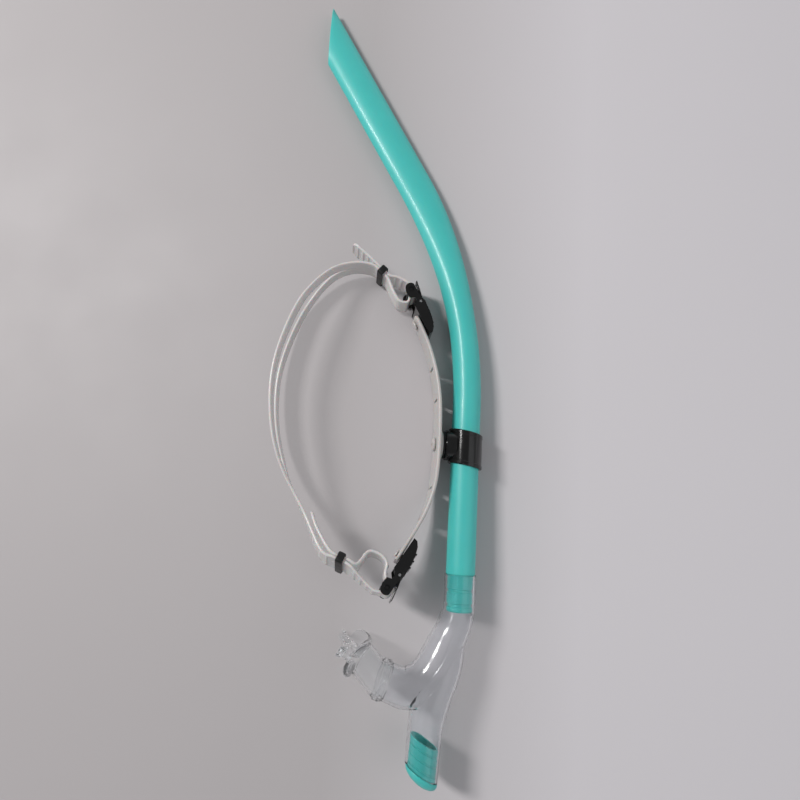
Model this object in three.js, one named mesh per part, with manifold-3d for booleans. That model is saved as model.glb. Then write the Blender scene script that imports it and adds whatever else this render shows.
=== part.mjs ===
// Centre-mount swim snorkel with its swivelling head bracket and strap, in millimetres.
//
// Design frame, before the whole object is laid down at the end of the file:
//   +Y runs up the straight lower tube, -X points towards the swimmer's face and +Z is sideways.
//   The object is symmetric about z = 0 apart from the strap loop, which is bent up at its lower end.
//   The origin is on the tube's axis, level with the middle of the clip.

import * as THREE from 'three';
import { mergeVertices } from 'three/addons/utils/BufferGeometryUtils.js';
import Module from 'manifold-3d';

const wasm = await Module();
wasm.setup();

const GAP = 0.3; // clearance between pieces that touch
const DEG = Math.PI / 180;

// Main tube
const TUBE_R = 8.6;
const TUBE_WALL = 1.5;
const TUBE_SHOULDER_Y = -74; // the chamber's sleeve starts here
const TUBE_END_Y = -95;
const SPIGOT_R = 7.5;
const SPIGOT_WALL = 1.2;
const TUBE_BEND_START_Y = 26;
const TUBE_BEND_R = 288;
const TUBE_BEND_ANGLE = 31;
const TUBE_TOP_LENGTH = 150; // straight run above the bend, before the end is cut off
const TUBE_TOP_HALF_DEPTH = 11.5; // flattened section at the top, fore and aft
const TUBE_TOP_HALF_WIDTH = 5.9; // and sideways
const TUBE_FLATTEN_FROM = 145; // distances along the tube's axis from the shoulder
const TUBE_FLATTEN_TO = 255;
const TUBE_CUT_X = -105; // plane of the open top end

// Lower chamber: trunk, mouth branch and purge branch
const SLEEVE_R = 9.2;
const SLEEVE_BORE_R = SPIGOT_R + GAP;
const CHAMBER_WALL = 1.5;
const PURGE_TOP = new THREE.Vector3(-16.4, -156, 0);
const PURGE_SEAT = new THREE.Vector3(-17.6, -180.2, 0); // where the purge branch ends
const PURGE_BRANCH_R = 9.3;
const PURGE_SLANT = 25; // tilt of the purge's end planes
const COLLAR = new THREE.Vector3(-39.4, -134.4, 0);
const COLLAR_RISE = 18; // angle of the collar's axis above -X
const COLLAR_SPIGOT_R = 8.7;
const COLLAR_SPIGOT_LENGTH = 6;

// Mouthpiece
const SOCKET_R = 10.3;
const SOCKET_LENGTH = 6.3;
const NECK_HALF_HEIGHT = 9.4;
const NECK_HALF_WIDTH = 12.8;
const FLANGE = new THREE.Vector3(-55.6, -121.4, 0);
const FLANGE_RISE = 30;
const FLANGE_WIDTH = 49.5;
const FLANGE_HEIGHT = 22.5;
const FLANGE_THICKNESS = 2;
const FLANGE_WRAP = 7.5; // how far the flange's ends reach forward round the teeth
const LUG_LENGTH = 7.5;
const LUG_INNER_Z = 12.5;
const LUG_WIDTH = 10;

// Purge insert
const INSERT_R = 8.1;
const INSERT_BORE_R = 6.9;
const INSERT_LENGTH = 16;
const CAP_R = 9.2;
const CAP_LENGTH = 4.6;
const VALVE_R = 5.9;
const VALVE_THICKNESS = 0.8;

// Clip and swivel
const CLIP_WALL = 1.5;
const CLIP_HEIGHT = 20.8;
const CLIP_SLANT = 10;
const SWIVEL_Y = 1.5;
const BOSS_R = 9.2;
const BOSS_FACE_X = -13;
const WASHER_R = 8.4;
const WASHER_THICKNESS = 1;
const SCREW_R = 2.1;
const SCREW_HEAD_R = 4.2;

// Head bracket
const BRACKET_X = -17.6; // middle of the band at the hub
const BRACKET_THICKNESS = 2.2;
const BRACKET_HUB_WIDTH = 27;
const BRACKET_END_WIDTH = 18.5;
const UPPER_ARM = [[20, 2.5], [62, 28]]; // each run's length and turn, from the hub out
const LOWER_ARM = [[18, 4], [30, 22], [27, 7]];
const VENT_PLACES = [27, 47];
const VENT_R = 0.8;
const VENT_LENGTH = 13;

// Loop's lower half: bent up round an axis along X between these two heights, then straight
const LOOP_BEND_Y = -12;
const LOOP_BEND_END_Y = -60;
const BRACKET_BEND_R = 210; // near the bracket
const STRAP_BEND_R = 125; // beyond the buckle, where the strap twists
const TWIST_FROM_X = -50;
const TWIST_TO_X = -66;

// Buckles, in a frame of their own: x along the buckle, y away from the head, z across
const BUCKLE_INNER_WIDTH = 19.2;
const BUCKLE_SIDE = 1.3;
const BUCKLE_FLOOR_Y = 1.5;
const BUCKLE_FLOOR_TOP = 3.2;
const ROLLER_PLACE = [15.8, 4.6];
const ROLLER_R = 2;
const ROLLER_JOURNAL_R = 1.2;
const LEVER_PIVOT = [6.3, 6.4];
const LEVER_PIN_R = 1;
const RIVET_X = -4;
const RIVET_R = 1.6;

// Strap
const STRAP_THICKNESS = 1.6;
const STRAP_HALF_WIDTH = 9;
const STRAP_BACK_HALF_WIDTH = 18;
const STRAP_SLIT_HALF = 6;
const KEEPER_LENGTH = 4.2;
const KEEPER_WALL = 1;
const KEEPER_UPPER = [-58.1, 107.7];
const KEEPER_LOWER = [-70.5, -72];
const KEEPER_UPPER_HEADING = 140; // direction of the strap through each keeper, away from the buckle
const KEEPER_LOWER_HEADING = 158;
const LANE = 1; // each strap layer's offset from the keeper's middle

// How the object lies on a level surface: slopes of that surface across and along the object
const ROLL_SLOPE = 0.0919;
const PITCH_SLOPE = 0.054;

const COLOURS = {
  teal: { color: 0x4fbfb4, roughness: 0.25 },
  clear: { color: 0xe4eaec, roughness: 0.1, transparent: true, opacity: 0.35 },
  milky: { color: 0xdedfdc, roughness: 0.35, transparent: true, opacity: 0.7 },
  black: { color: 0x101113, roughness: 0.4 },
  steel: { color: 0x9a9c9e, roughness: 0.3, metalness: 1 },
};

const object = new THREE.Group();
const Z = new THREE.Vector3(0, 0, 1);

// ---------- helpers ----------

/** A closed geometry as a solid, with its faces pointing out. */
function solid(geometry) {
  const bare = geometry.clone();
  bare.deleteAttribute('normal');
  bare.deleteAttribute('uv');
  const merged = mergeVertices(bare, 1e-4);
  const position = merged.getAttribute('position').array;
  const index = merged.getIndex().array;
  const corner = (i) => new THREE.Vector3().fromArray(position, 3 * i);
  const triangles = [];
  let volume = 0;
  for (let i = 0; i < index.length; i += 3) {
    const [a, b, c] = [index[i], index[i + 1], index[i + 2]];
    if (a === b || b === c || c === a) continue;
    triangles.push([a, b, c]);
    volume += corner(a).dot(corner(b).cross(corner(c)));
  }
  const outward = triangles.map(([a, b, c]) => (volume < 0 ? [a, c, b] : [a, b, c]));
  return new wasm.Manifold(new wasm.Mesh({
    numProp: 3,
    vertProperties: Float32Array.from(position),
    triVerts: Uint32Array.from(outward.flat()),
  }));
}

/** A solid as a geometry. */
function geometryOf(body) {
  const mesh = body.getMesh();
  const geometry = new THREE.BufferGeometry();
  geometry.setAttribute('position', new THREE.BufferAttribute(mesh.vertProperties, 3));
  geometry.setIndex(new THREE.BufferAttribute(mesh.triVerts, 1));
  geometry.computeVertexNormals();
  return geometry;
}

/** Adds a solid to the object as a named piece, placed by a matrix where one is given. */
function piece(name, body, colour, matrix = new THREE.Matrix4()) {
  const material = new THREE.MeshStandardMaterial(COLOURS[colour]);
  const mesh = new THREE.Mesh(geometryOf(body), material);
  mesh.name = name;
  mesh.applyMatrix4(matrix);
  object.add(mesh);
}

const union = (...bodies) => bodies.reduce((sum, body) => sum.add(body));
const cut = (body, ...tools) => tools.reduce((rest, tool) => rest.subtract(tool), body);

/** Box between two corners. */
function box(low, high) {
  const [x, y, z] = [0, 1, 2].map((i) => high[i] - low[i]);
  const [u, v, w] = [0, 1, 2].map((i) => (high[i] + low[i]) / 2);
  return solid(new THREE.BoxGeometry(x, y, z).translate(u, v, w));
}

/** Cylinder from one point along a direction. */
function cylinder(radius, from, direction, length, sides = 24) {
  const up = new THREE.Vector3(0, 1, 0);
  const along = direction.clone().normalize();
  const geometry = new THREE.CylinderGeometry(radius, radius, length, sides);
  geometry.translate(0, length / 2, 0);
  geometry.applyQuaternion(new THREE.Quaternion().setFromUnitVectors(up, along));
  geometry.translate(from.x, from.y, from.z);
  return solid(geometry);
}

/** Moves every vertex of a geometry to map(vertex). */
function reshape(geometry, map) {
  const position = geometry.getAttribute('position');
  const vertex = new THREE.Vector3();
  for (let i = 0; i < position.count; i += 1) {
    vertex.fromBufferAttribute(position, i);
    const moved = map(vertex.clone());
    position.setXYZ(i, moved.x, moved.y, moved.z);
  }
  return geometry;
}

const smooth = (from, to, at) => THREE.MathUtils.smoothstep(at, from, to);
const mix = THREE.MathUtils.lerp;
const heading = (degrees) => new THREE.Vector3(Math.cos(degrees * DEG), Math.sin(degrees * DEG), 0);

/** Curve in the plane z = 0 made of runs, each a length and the angle it turns through. */
class RunCurve extends THREE.Curve {
  constructor(start, startHeading, runs) {
    super();
    Object.assign(this, { start, startHeading, runs });
    this.total = runs.reduce((sum, [length]) => sum + length, 0);
  }

  getPoint(t) {
    const place = this.start.clone();
    let angle = this.startHeading;
    let left = t * this.total;
    for (const [length, turn] of this.runs) {
      const run = Math.min(left, length);
      const swing = (turn * run) / length;
      const chord = swing === 0 ? run : (run * Math.sin((swing * DEG) / 2)) / ((swing * DEG) / 2);
      place.addScaledVector(heading(angle + swing / 2), chord);
      angle += swing;
      left -= run;
    }
    return place;
  }
}

/**
 * Rod along a curve; size(t) gives its half depth in the curve's plane and its half width.
 * Its sections are square to the curve, or to facing(t) where that is given.
 */
function rod(curve, size, steps, sides, facing = (t) => curve.getTangentAt(t)) {
  return solid(reshape(new THREE.CylinderGeometry(1, 1, 1, sides, steps), (vertex) => {
    const t = vertex.y + 0.5;
    const normal = facing(t);
    const across = new THREE.Vector3(normal.y, -normal.x, 0);
    const [depth, width] = size(t);
    return curve.getPointAt(t).addScaledVector(across, vertex.x * depth).setZ(vertex.z * width);
  }));
}

/** Band of even thickness along a curve; span(t) gives its lowest and highest z. */
function band(curve, from, to, steps, thickness, span, bend = (point) => point) {
  return solid(reshape(new THREE.BoxGeometry(1, 1, 1, steps, 1, 1), (vertex) => {
    const t = mix(from, to, vertex.x + 0.5);
    const tangent = curve.getTangentAt(t);
    const across = new THREE.Vector3(-tangent.y, tangent.x, 0);
    const [low, high] = span(t);
    const point = curve.getPointAt(t).addScaledVector(across, vertex.y * thickness);
    return bend(point.setZ(mix(low, high, vertex.z + 0.5)));
  }));
}

/** The half of space on the far side of a plane, as a large block. */
function beyond(point, normal) {
  const size = 900;
  const turn = new THREE.Quaternion().setFromUnitVectors(Z, normal.clone().normalize());
  const block = new THREE.BoxGeometry(size, size, size).translate(0, 0, size / 2);
  return solid(block.applyQuaternion(turn).translate(point.x, point.y, point.z));
}

// ---------- main tube ----------

function mainTube() {
  const arc = TUBE_BEND_R * TUBE_BEND_ANGLE * DEG;
  const runs = [[TUBE_BEND_START_Y - TUBE_SHOULDER_Y, 0], [arc, TUBE_BEND_ANGLE], [TUBE_TOP_LENGTH, 0]];
  const axis = new RunCurve(new THREE.Vector3(0, TUBE_SHOULDER_Y, 0), 90, runs);
  const wall = (inset) => (t) => {
    const flat = smooth(TUBE_FLATTEN_FROM, TUBE_FLATTEN_TO, t * axis.total);
    const depth = mix(TUBE_R, TUBE_TOP_HALF_DEPTH, flat) - inset;
    return [depth, mix(TUBE_R, TUBE_TOP_HALF_WIDTH, flat) - inset];
  };
  const up = new THREE.Vector3(0, 1, 0);
  const end = new THREE.Vector3(0, TUBE_END_Y, 0);
  const spigotLength = TUBE_SHOULDER_Y - TUBE_END_Y;
  const spigot = cylinder(SPIGOT_R, end, up, spigotLength + 1, 22);
  const start = end.clone().setY(TUBE_END_Y - 1);
  const spigotBore = cylinder(SPIGOT_R - SPIGOT_WALL, start, up, spigotLength + 4, 22);
  const outside = rod(axis, wall(0), 28, 22);
  const bore = rod(axis, wall(TUBE_WALL), 28, 22);
  const tube = cut(union(outside, spigot), bore.translate(0, 2, 0), spigotBore);
  return cut(tube, beyond(new THREE.Vector3(TUBE_CUT_X, 0, 0), new THREE.Vector3(-1, 0, 0)));
}

// ---------- lower chamber, mouthpiece and its ring ----------

const purgeAxis = PURGE_SEAT.clone().sub(PURGE_TOP).normalize();
const purgeNormal = purgeAxis.clone().applyAxisAngle(Z, -PURGE_SLANT * DEG);
const collarAxis = heading(180 - COLLAR_RISE);
const flangeAxis = heading(180 - FLANGE_RISE);

/** A value that passes smoothly through stops of [t, value]. */
function along(stops) {
  return (t) => {
    const next = stops.findIndex(([place]) => place >= t);
    if (next <= 0) return stops[Math.max(next, 0)][1];
    const [[before, low], [after, high]] = [stops[next - 1], stops[next]];
    return mix(low, high, smooth(before, after, t));
  };
}

function lowerChamber() {
  const point = (x, y) => new THREE.Vector3(x, y, 0);
  const purgeEnd = PURGE_SEAT.clone().addScaledVector(purgeAxis, 8);
  const purge = new THREE.CatmullRomCurve3([
    point(0, TUBE_SHOULDER_Y - GAP), point(0, TUBE_END_Y), point(-2.2, -110), point(-7.8, -127.5),
    point(-13.8, -143), PURGE_TOP, purgeEnd]);
  const mouth = new THREE.CatmullRomCurve3([
    point(0, TUBE_END_Y + 6), point(-2, -101), point(-7, -113), point(-13.6, -127),
    point(-21, -134.8), point(-29.5, -137.2), COLLAR]);
  const purgeSize = along([[0, SLEEVE_R], [0.2, SLEEVE_R], [0.45, 10.3], [0.66, 11.2],
    [0.85, 9.7], [1, PURGE_BRANCH_R]]);
  const mouthSize = along([[0, SLEEVE_R], [0.2, 10], [0.5, 11.5], [0.8, 11.5], [1, 10.4]]);
  const round = (size, inset) => (t) => [size(t) - inset, size(t) - inset];
  const outside = union(rod(purge, round(purgeSize, 0), 18, 20), rod(mouth, round(mouthSize, 0), 12, 20));
  const inside = union(
    rod(purge, round(purgeSize, CHAMBER_WALL - 0.1), 18, 20).translate(0, -2, 0),
    rod(mouth, round(mouthSize, CHAMBER_WALL), 12, 20),
  );
  const sleeveBore = cylinder(SLEEVE_BORE_R, point(0, TUBE_END_Y - 1), point(0, 1), 30, 22);
  const keep = COLLAR.clone().addScaledVector(collarAxis, -1);
  const spigot = cylinder(COLLAR_SPIGOT_R, keep, collarAxis, COLLAR_SPIGOT_LENGTH + 1, 22);
  const mouthBore = cylinder(
    COLLAR_SPIGOT_R - CHAMBER_WALL, keep.clone().addScaledVector(collarAxis, -2), collarAxis, 12, 22);
  const purgeBore = cylinder(
    INSERT_R + GAP, PURGE_SEAT.clone().addScaledVector(purgeAxis, -INSERT_LENGTH - 5), purgeAxis, 40, 22);
  const trimmed = cut(outside, beyond(COLLAR, collarAxis), beyond(PURGE_SEAT, purgeNormal));
  return cut(union(trimmed, spigot), inside, sleeveBore, mouthBore, purgeBore);
}

/** Point of the mouthpiece flange: u sideways, v up the flange and w out towards the teeth. */
function flangePoint(u, v, w) {
  const wrap = FLANGE_WRAP * (u / (FLANGE_WIDTH / 2)) ** 2;
  const upFlange = new THREE.Vector3(flangeAxis.y, -flangeAxis.x, 0);
  return FLANGE.clone().addScaledVector(flangeAxis, w + wrap).addScaledVector(upFlange, v).setZ(u);
}

function mouthpiece() {
  const wrapped = (vertex) => flangePoint(vertex.x, vertex.y, vertex.z);
  const plate = new THREE.BoxGeometry(FLANGE_WIDTH + 2, FLANGE_HEIGHT + 2, FLANGE_THICKNESS, 14, 1, 1);
  const [halfWidth, halfHeight] = [FLANGE_WIDTH / 2, FLANGE_HEIGHT / 2];
  const corner = halfHeight * 0.85;
  const outline = new THREE.Shape();
  for (const [side, lift] of [[1, -1], [1, 1], [-1, 1], [-1, -1]]) {
    const start = [[1, -1], [-1, 1]].some(([a, b]) => a === side && b === lift) ? -90 : 0;
    const from = (start + (side < 0 ? 180 : 0)) * DEG;
    const centre = [side * (halfWidth - corner), lift * (halfHeight - corner)];
    outline.absarc(centre[0], centre[1], corner, from, from + 90 * DEG, false);
  }
  const depth = FLANGE_WRAP + 12;
  const prism = new THREE.ExtrudeGeometry(outline, { depth, bevelEnabled: false, curveSegments: 5 });
  const straight = (vertex) => {
    const flat = flangePoint(0, vertex.y, vertex.z - 6);
    return flat.setZ(vertex.x);
  };
  const flange = solid(reshape(plate, wrapped)).intersect(solid(reshape(prism, straight)));

  const lugs = [1, -1].map((side) => {
    const middle = side * (LUG_INNER_Z + LUG_WIDTH / 2);
    const blade = new THREE.BoxGeometry(LUG_WIDTH, 2.4, LUG_LENGTH, 3, 1, 1);
    const lip = new THREE.BoxGeometry(LUG_WIDTH, 6, 1.8, 3, 1, 1);
    blade.translate(middle, 0, LUG_LENGTH / 2);
    lip.translate(middle, 0, LUG_LENGTH);
    return union(solid(reshape(blade, wrapped)), solid(reshape(lip, wrapped)));
  });

  const socketStart = COLLAR.clone().addScaledVector(collarAxis, GAP);
  const socketEnd = socketStart.clone().addScaledVector(collarAxis, SOCKET_LENGTH - 0.5);
  const neck = new THREE.LineCurve3(socketEnd, FLANGE.clone().addScaledVector(flangeAxis, 0.5));
  const facing = (t) => heading(mix(180 - COLLAR_RISE, 180 - FLANGE_RISE, t));
  const size = (inset) => (t) => {
    return [mix(SOCKET_R, NECK_HALF_HEIGHT, t) - inset, mix(SOCKET_R, NECK_HALF_WIDTH, t) - inset];
  };
  const mouthEnd = new THREE.LineCurve3(FLANGE, FLANGE.clone().addScaledVector(flangeAxis, 8));
  const mouthHole = rod(mouthEnd, () => [NECK_HALF_HEIGHT - 2, NECK_HALF_WIDTH - 1.8], 1, 22);
  const bore = rod(neck, size(1.8), 5, 22, facing);
  const socket = cylinder(SOCKET_R, socketStart, collarAxis, SOCKET_LENGTH, 22);
  const socketBore = cylinder(COLLAR_SPIGOT_R + GAP, socketStart.clone().addScaledVector(collarAxis, -2),
    collarAxis, SOCKET_LENGTH + 2, 22);
  const body = union(flange, ...lugs, rod(neck, size(0), 5, 22, facing), socket);
  return cut(body, socketBore, bore, mouthHole);
}

function mouthpieceRing() {
  const start = COLLAR.clone().addScaledVector(collarAxis, 1.4);
  const outer = cylinder(SOCKET_R + GAP + 1, start, collarAxis, 4);
  const hole = cylinder(SOCKET_R + GAP, start.clone().addScaledVector(collarAxis, -1), collarAxis, 6);
  return cut(outer, hole);
}

// ---------- purge insert ----------

const purgePoint = (distance) => PURGE_SEAT.clone().addScaledVector(purgeAxis, distance);

/** Part of a rod along the purge's axis between two slanted planes. */
function slantedRod(radius, from, to) {
  const whole = cylinder(radius, purgePoint(from - 12), purgeAxis, to - from + 24, 22);
  const upwards = purgeNormal.clone().negate();
  return cut(whole, beyond(purgePoint(to), purgeNormal), beyond(purgePoint(from), upwards));
}

function purgeHousing() {
  return cut(slantedRod(INSERT_R, -INSERT_LENGTH, 0), slantedRod(INSERT_BORE_R, -INSERT_LENGTH - 2, 2));
}

const seatTop = -3.4;
const seatBottom = -1.8;

function purgeSeat() {
  const start = purgePoint(seatBottom).addScaledVector(purgeNormal, -6);
  const side = new THREE.Vector3(-purgeNormal.y, purgeNormal.x, 0);
  const holes = [45, 135, 225, 315].map((angle) => {
    const arm = side.clone().multiplyScalar(3.9 * Math.cos(angle * DEG)).setZ(3.9 * Math.sin(angle * DEG));
    return cylinder(1.8, start.clone().add(arm), purgeNormal, 12, 12);
  });
  const stemHole = cylinder(1.3, start, purgeNormal, 12, 12);
  return cut(slantedRod(INSERT_BORE_R - GAP, seatTop, seatBottom), ...holes, stemHole);
}

function purgeValve() {
  const face = purgePoint(seatBottom).addScaledVector(purgeNormal, GAP);
  const upwards = purgeNormal.clone().negate();
  const disc = cylinder(VALVE_R, face, purgeNormal, VALVE_THICKNESS);
  const stem = cylinder(0.9, face.clone().addScaledVector(upwards, -0.2), upwards, 5, 12);
  const bulb = cylinder(1.9, face.clone().addScaledVector(upwards, 3.2), upwards, 1.6, 12);
  return union(disc, stem, bulb);
}

function purgeCap() {
  const shell = slantedRod(CAP_R, GAP, CAP_LENGTH);
  const hollow = slantedRod(INSERT_BORE_R, GAP - 2, CAP_LENGTH - 1.4);
  const slots = [-4.2, 0, 4.2].map((offset) => {
    const slot = new THREE.BoxGeometry(2.2, 20, offset === 0 ? 11 : 8);
    const turn = new THREE.Quaternion().setFromUnitVectors(new THREE.Vector3(0, -1, 0), purgeNormal);
    const side = new THREE.Vector3(-purgeNormal.y, purgeNormal.x, 0);
    const place = purgePoint(CAP_LENGTH).addScaledVector(side, offset);
    return solid(slot.applyQuaternion(turn).translate(place.x, place.y, place.z));
  });
  return cut(shell, hollow, ...slots);
}

// ---------- clip and swivel ----------

const towardsHead = new THREE.Vector3(-1, 0, 0);
const swivelPoint = (x) => new THREE.Vector3(x, SWIVEL_Y, 0);

function tubeClip() {
  const up = new THREE.Vector3(0, 1, 0);
  const outer = cylinder(TUBE_R + GAP + CLIP_WALL, new THREE.Vector3(0, -25, 0), up, 50, 28);
  const bore = cylinder(TUBE_R + GAP, new THREE.Vector3(0, -26, 0), up, 52, 28);
  const topNormal = heading(90 - CLIP_SLANT);
  const ring = cut(
    outer,
    beyond(new THREE.Vector3(0, CLIP_HEIGHT / 2 - 0.4, 0), topNormal),
    beyond(new THREE.Vector3(0, -CLIP_HEIGHT / 2 - 0.4, 0), topNormal.clone().negate()),
  );
  const boss = cylinder(BOSS_R, swivelPoint(-6), towardsHead, -BOSS_FACE_X - 6);
  const screwHole = cylinder(SCREW_R + GAP, swivelPoint(-10.1), towardsHead, 6, 16);
  return cut(union(ring, boss), bore, screwHole);
}

const washerX = BOSS_FACE_X - GAP;
const hubX = washerX - WASHER_THICKNESS - GAP;

function swivelWasher() {
  const disc = cylinder(WASHER_R, swivelPoint(washerX), towardsHead, WASHER_THICKNESS);
  return cut(disc, cylinder(SCREW_R + GAP, swivelPoint(washerX + 2), towardsHead, 6, 16));
}

const headX = BRACKET_X - BRACKET_THICKNESS / 2 - GAP;

function pivotScrew() {
  const shank = cylinder(SCREW_R, swivelPoint(-10.4), towardsHead, -10.4 - headX + 0.5, 16);
  const head = cylinder(SCREW_HEAD_R, swivelPoint(headX), towardsHead, 1.8, 20);
  const slot = box([headX - 3, SWIVEL_Y - 3, -0.5], [headX - 1.1, SWIVEL_Y + 3, 0.5]);
  return cut(union(shank, head), slot);
}

// ---------- head bracket ----------

const bendRadius = (x) => mix(BRACKET_BEND_R, STRAP_BEND_R, smooth(-TWIST_FROM_X, -TWIST_TO_X, -x));

const bendAngle = ({ x, y }) =>
  (LOOP_BEND_Y - THREE.MathUtils.clamp(y, LOOP_BEND_END_Y, LOOP_BEND_Y)) / bendRadius(x);

/** Bends the loop's lower half up, round an axis along X. */
function bendLoop(point) {
  if (point.y >= LOOP_BEND_Y) return point;
  const angle = bendAngle(point);
  const centre = bendRadius(point.x);
  const radius = centre - point.z;
  const straight = Math.max(0, LOOP_BEND_END_Y - point.y);
  const y = LOOP_BEND_Y - radius * Math.sin(angle) - straight * Math.cos(angle);
  return point.set(point.x, y, centre - radius * Math.cos(angle) + straight * Math.sin(angle));
}

/** The rigid move that the loop's bend gives to a piece fixed at one point of the loop. */
function bendAt(point) {
  const turn = new THREE.Matrix4().makeRotationX(-bendAngle(point));
  const moved = bendLoop(point.clone().setZ(0));
  const back = new THREE.Matrix4().makeTranslation(-point.x, -point.y, 0);
  return new THREE.Matrix4().makeTranslation(moved.x, moved.y, moved.z).multiply(turn).multiply(back);
}

const hubPoint = new THREE.Vector3(BRACKET_X, SWIVEL_Y, 0);
const upperArm = new RunCurve(hubPoint, 90, UPPER_ARM);
const lowerArm = new RunCurve(hubPoint, -90, LOWER_ARM.map(([length, turn]) => [length, -turn]));

function headBracket() {
  const span = (t) => {
    const half = mix(BRACKET_HUB_WIDTH, BRACKET_END_WIDTH, smooth(0.15, 0.9, t)) / 2;
    return [-half, half];
  };
  const arms = [upperArm, lowerArm].map((arm) => {
    const strip = band(arm, 0, 1, 16, BRACKET_THICKNESS, span);
    const vents = VENT_PLACES.map((distance) => {
      const t = distance / arm.total;
      const tangent = arm.getTangentAt(t);
      const across = new THREE.Vector3(tangent.y, -tangent.x, 0);
      const ends = [-1, 1].map((way) => {
        const from = arm.getPointAt(t).addScaledVector(across, -4).setZ(way * (VENT_LENGTH / 2 - VENT_R));
        return cylinder(VENT_R, from, across, 8, 10);
      });
      return wasm.Manifold.hull(ends);
    });
    const tangent = arm.getTangentAt(1);
    const across = new THREE.Vector3(tangent.y, -tangent.x, 0);
    const rivet = arm.getPointAt(1).addScaledVector(tangent, RIVET_X).addScaledVector(across, -6);
    return cut(strip, ...vents, cylinder(RIVET_R + GAP, rivet, across, 12, 14));
  });
  const pad = cylinder(WASHER_R, swivelPoint(hubX), towardsHead, hubX - headX - GAP, 24);
  const screwHole = cylinder(SCREW_R + GAP, swivelPoint(hubX + 2), towardsHead, 10, 16);
  const whole = cut(union(...arms, pad), screwHole);
  return solid(reshape(geometryOf(whole), bendLoop));
}

// ---------- buckles ----------

/** Matrix from a buckle's own frame to the flat loop; side is 1 for the upper and -1 for the lower. */
function buckleFlat(side) {
  const arm = side > 0 ? upperArm : lowerArm;
  const end = arm.getPointAt(1);
  const ahead = arm.getTangentAt(1).setZ(0).normalize();
  const outward = new THREE.Vector3(side * ahead.y, -side * ahead.x, 0);
  const basis = new THREE.Matrix4().makeBasis(ahead, outward, new THREE.Vector3(0, 0, -side));
  return new THREE.Matrix4().makeTranslation(end.x, end.y, 0).multiply(basis);
}

const armEnd = (side) => (side > 0 ? upperArm : lowerArm).getPointAt(1);
const buckleMatrix = (side) => bendAt(armEnd(side)).multiply(buckleFlat(side));

const half = BUCKLE_INNER_WIDTH / 2;
const crossRod = (radius, [x, y], length, sides = 16) =>
  cylinder(radius, new THREE.Vector3(x, y, -length / 2), Z, length, sides);

function buckleFrame() {
  const outline = new THREE.Shape();
  const lineThrough = (points) => points.forEach(([x, y]) => outline.lineTo(x, y));
  outline.moveTo(-15, BUCKLE_FLOOR_Y);
  lineThrough([[5, 1.5], [7.8, 4], [10.3, 4.4], [11.4, 1.2], [15.2, 0.9]]);
  outline.absarc(ROLLER_PLACE[0] + 0.7, ROLLER_PLACE[1], 3.4, -60 * DEG, 60 * DEG, false);
  lineThrough([[12, 7.6], [8.6, 8], [5.5, 8.9], [-1.6, 8.4], [-7.2, 7.6], [-12, 5.9], [-14.6, 3.8]]);
  const side = { depth: BUCKLE_SIDE, bevelEnabled: false, curveSegments: 6 };
  const plate = (z) => solid(new THREE.ExtrudeGeometry(outline, side).translate(0, 0, z));
  const section = [[-15, 1.5], [-14.6, 3.8], [-12, 5.9], [-7.2, 7.6], [-1.6, 8.4], [3.4, 8.7], [3.4, 7.2],
    [-1.4, 6.9], [-6.8, 6.1], [-11.2, 4.6], [-13.6, 3.2], [4, 3.2], [4, 1.5]];
  const depth = 2 * half + 1;
  const back = new THREE.Shape(section.map(([x, y]) => new THREE.Vector2(x, y)));
  const shell = new THREE.ExtrudeGeometry(back, { depth, bevelEnabled: false }).translate(0, 0, -depth / 2);
  const up = new THREE.Vector3(0, 1, 0);
  return cut(
    union(plate(half), plate(-half - BUCKLE_SIDE), solid(shell)),
    crossRod(ROLLER_JOURNAL_R + GAP, ROLLER_PLACE, 40),
    crossRod(LEVER_PIN_R + 0.1, LEVER_PIVOT, 40, 14),
    cylinder(RIVET_R + GAP, new THREE.Vector3(RIVET_X, -5, 0), up, 9, 14),
  );
}

function strapRoller() {
  const journal = crossRod(ROLLER_JOURNAL_R, ROLLER_PLACE, BUCKLE_INNER_WIDTH + 2 * BUCKLE_SIDE, 12);
  return union(crossRod(ROLLER_R, ROLLER_PLACE, BUCKLE_INNER_WIDTH - 2 * GAP), journal);
}

function releaseLever() {
  const [x, y] = LEVER_PIVOT;
  const outline = new THREE.Shape();
  outline.absarc(x, y, 1.9, 75 * DEG, 300 * DEG, false);
  const blade = [[9, 6.2], [9.5, 4.9], [10.6, 4.9], [11.2, 8.5], [19.5, 9.9], [19.7, 10.8], [12, 9.5]];
  blade.forEach(([u, v]) => outline.lineTo(u, v));
  const depth = BUCKLE_INNER_WIDTH - 2 * GAP;
  const body = new THREE.ExtrudeGeometry(outline, { depth, bevelEnabled: false, curveSegments: 8 });
  return cut(solid(body.translate(0, 0, -depth / 2)), crossRod(LEVER_PIN_R + GAP, LEVER_PIVOT, 40, 14));
}

const leverPin = () => crossRod(LEVER_PIN_R, LEVER_PIVOT, BUCKLE_INNER_WIDTH + 2 * BUCKLE_SIDE, 14);

/** Rivet that holds a buckle's floor to the bracket's end. */
function bracketRivet() {
  const up = new THREE.Vector3(0, 1, 0);
  const under = -BRACKET_THICKNESS / 2 - 2 * GAP;
  const over = BUCKLE_FLOOR_TOP + GAP;
  const shank = cylinder(RIVET_R, new THREE.Vector3(RIVET_X, under - 0.5, 0), up, over - under + 1, 14);
  const head = cylinder(2.9, new THREE.Vector3(RIVET_X, over, 0), up, 1, 16);
  const foot = cylinder(2.9, new THREE.Vector3(RIVET_X, under - 1, 0), up, 1, 16);
  return union(shank, head, foot);
}

// ---------- head strap and keepers ----------

const buckleToLoop = (side, x, y) => new THREE.Vector3(x, y, 0).applyMatrix4(buckleFlat(side));

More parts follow.
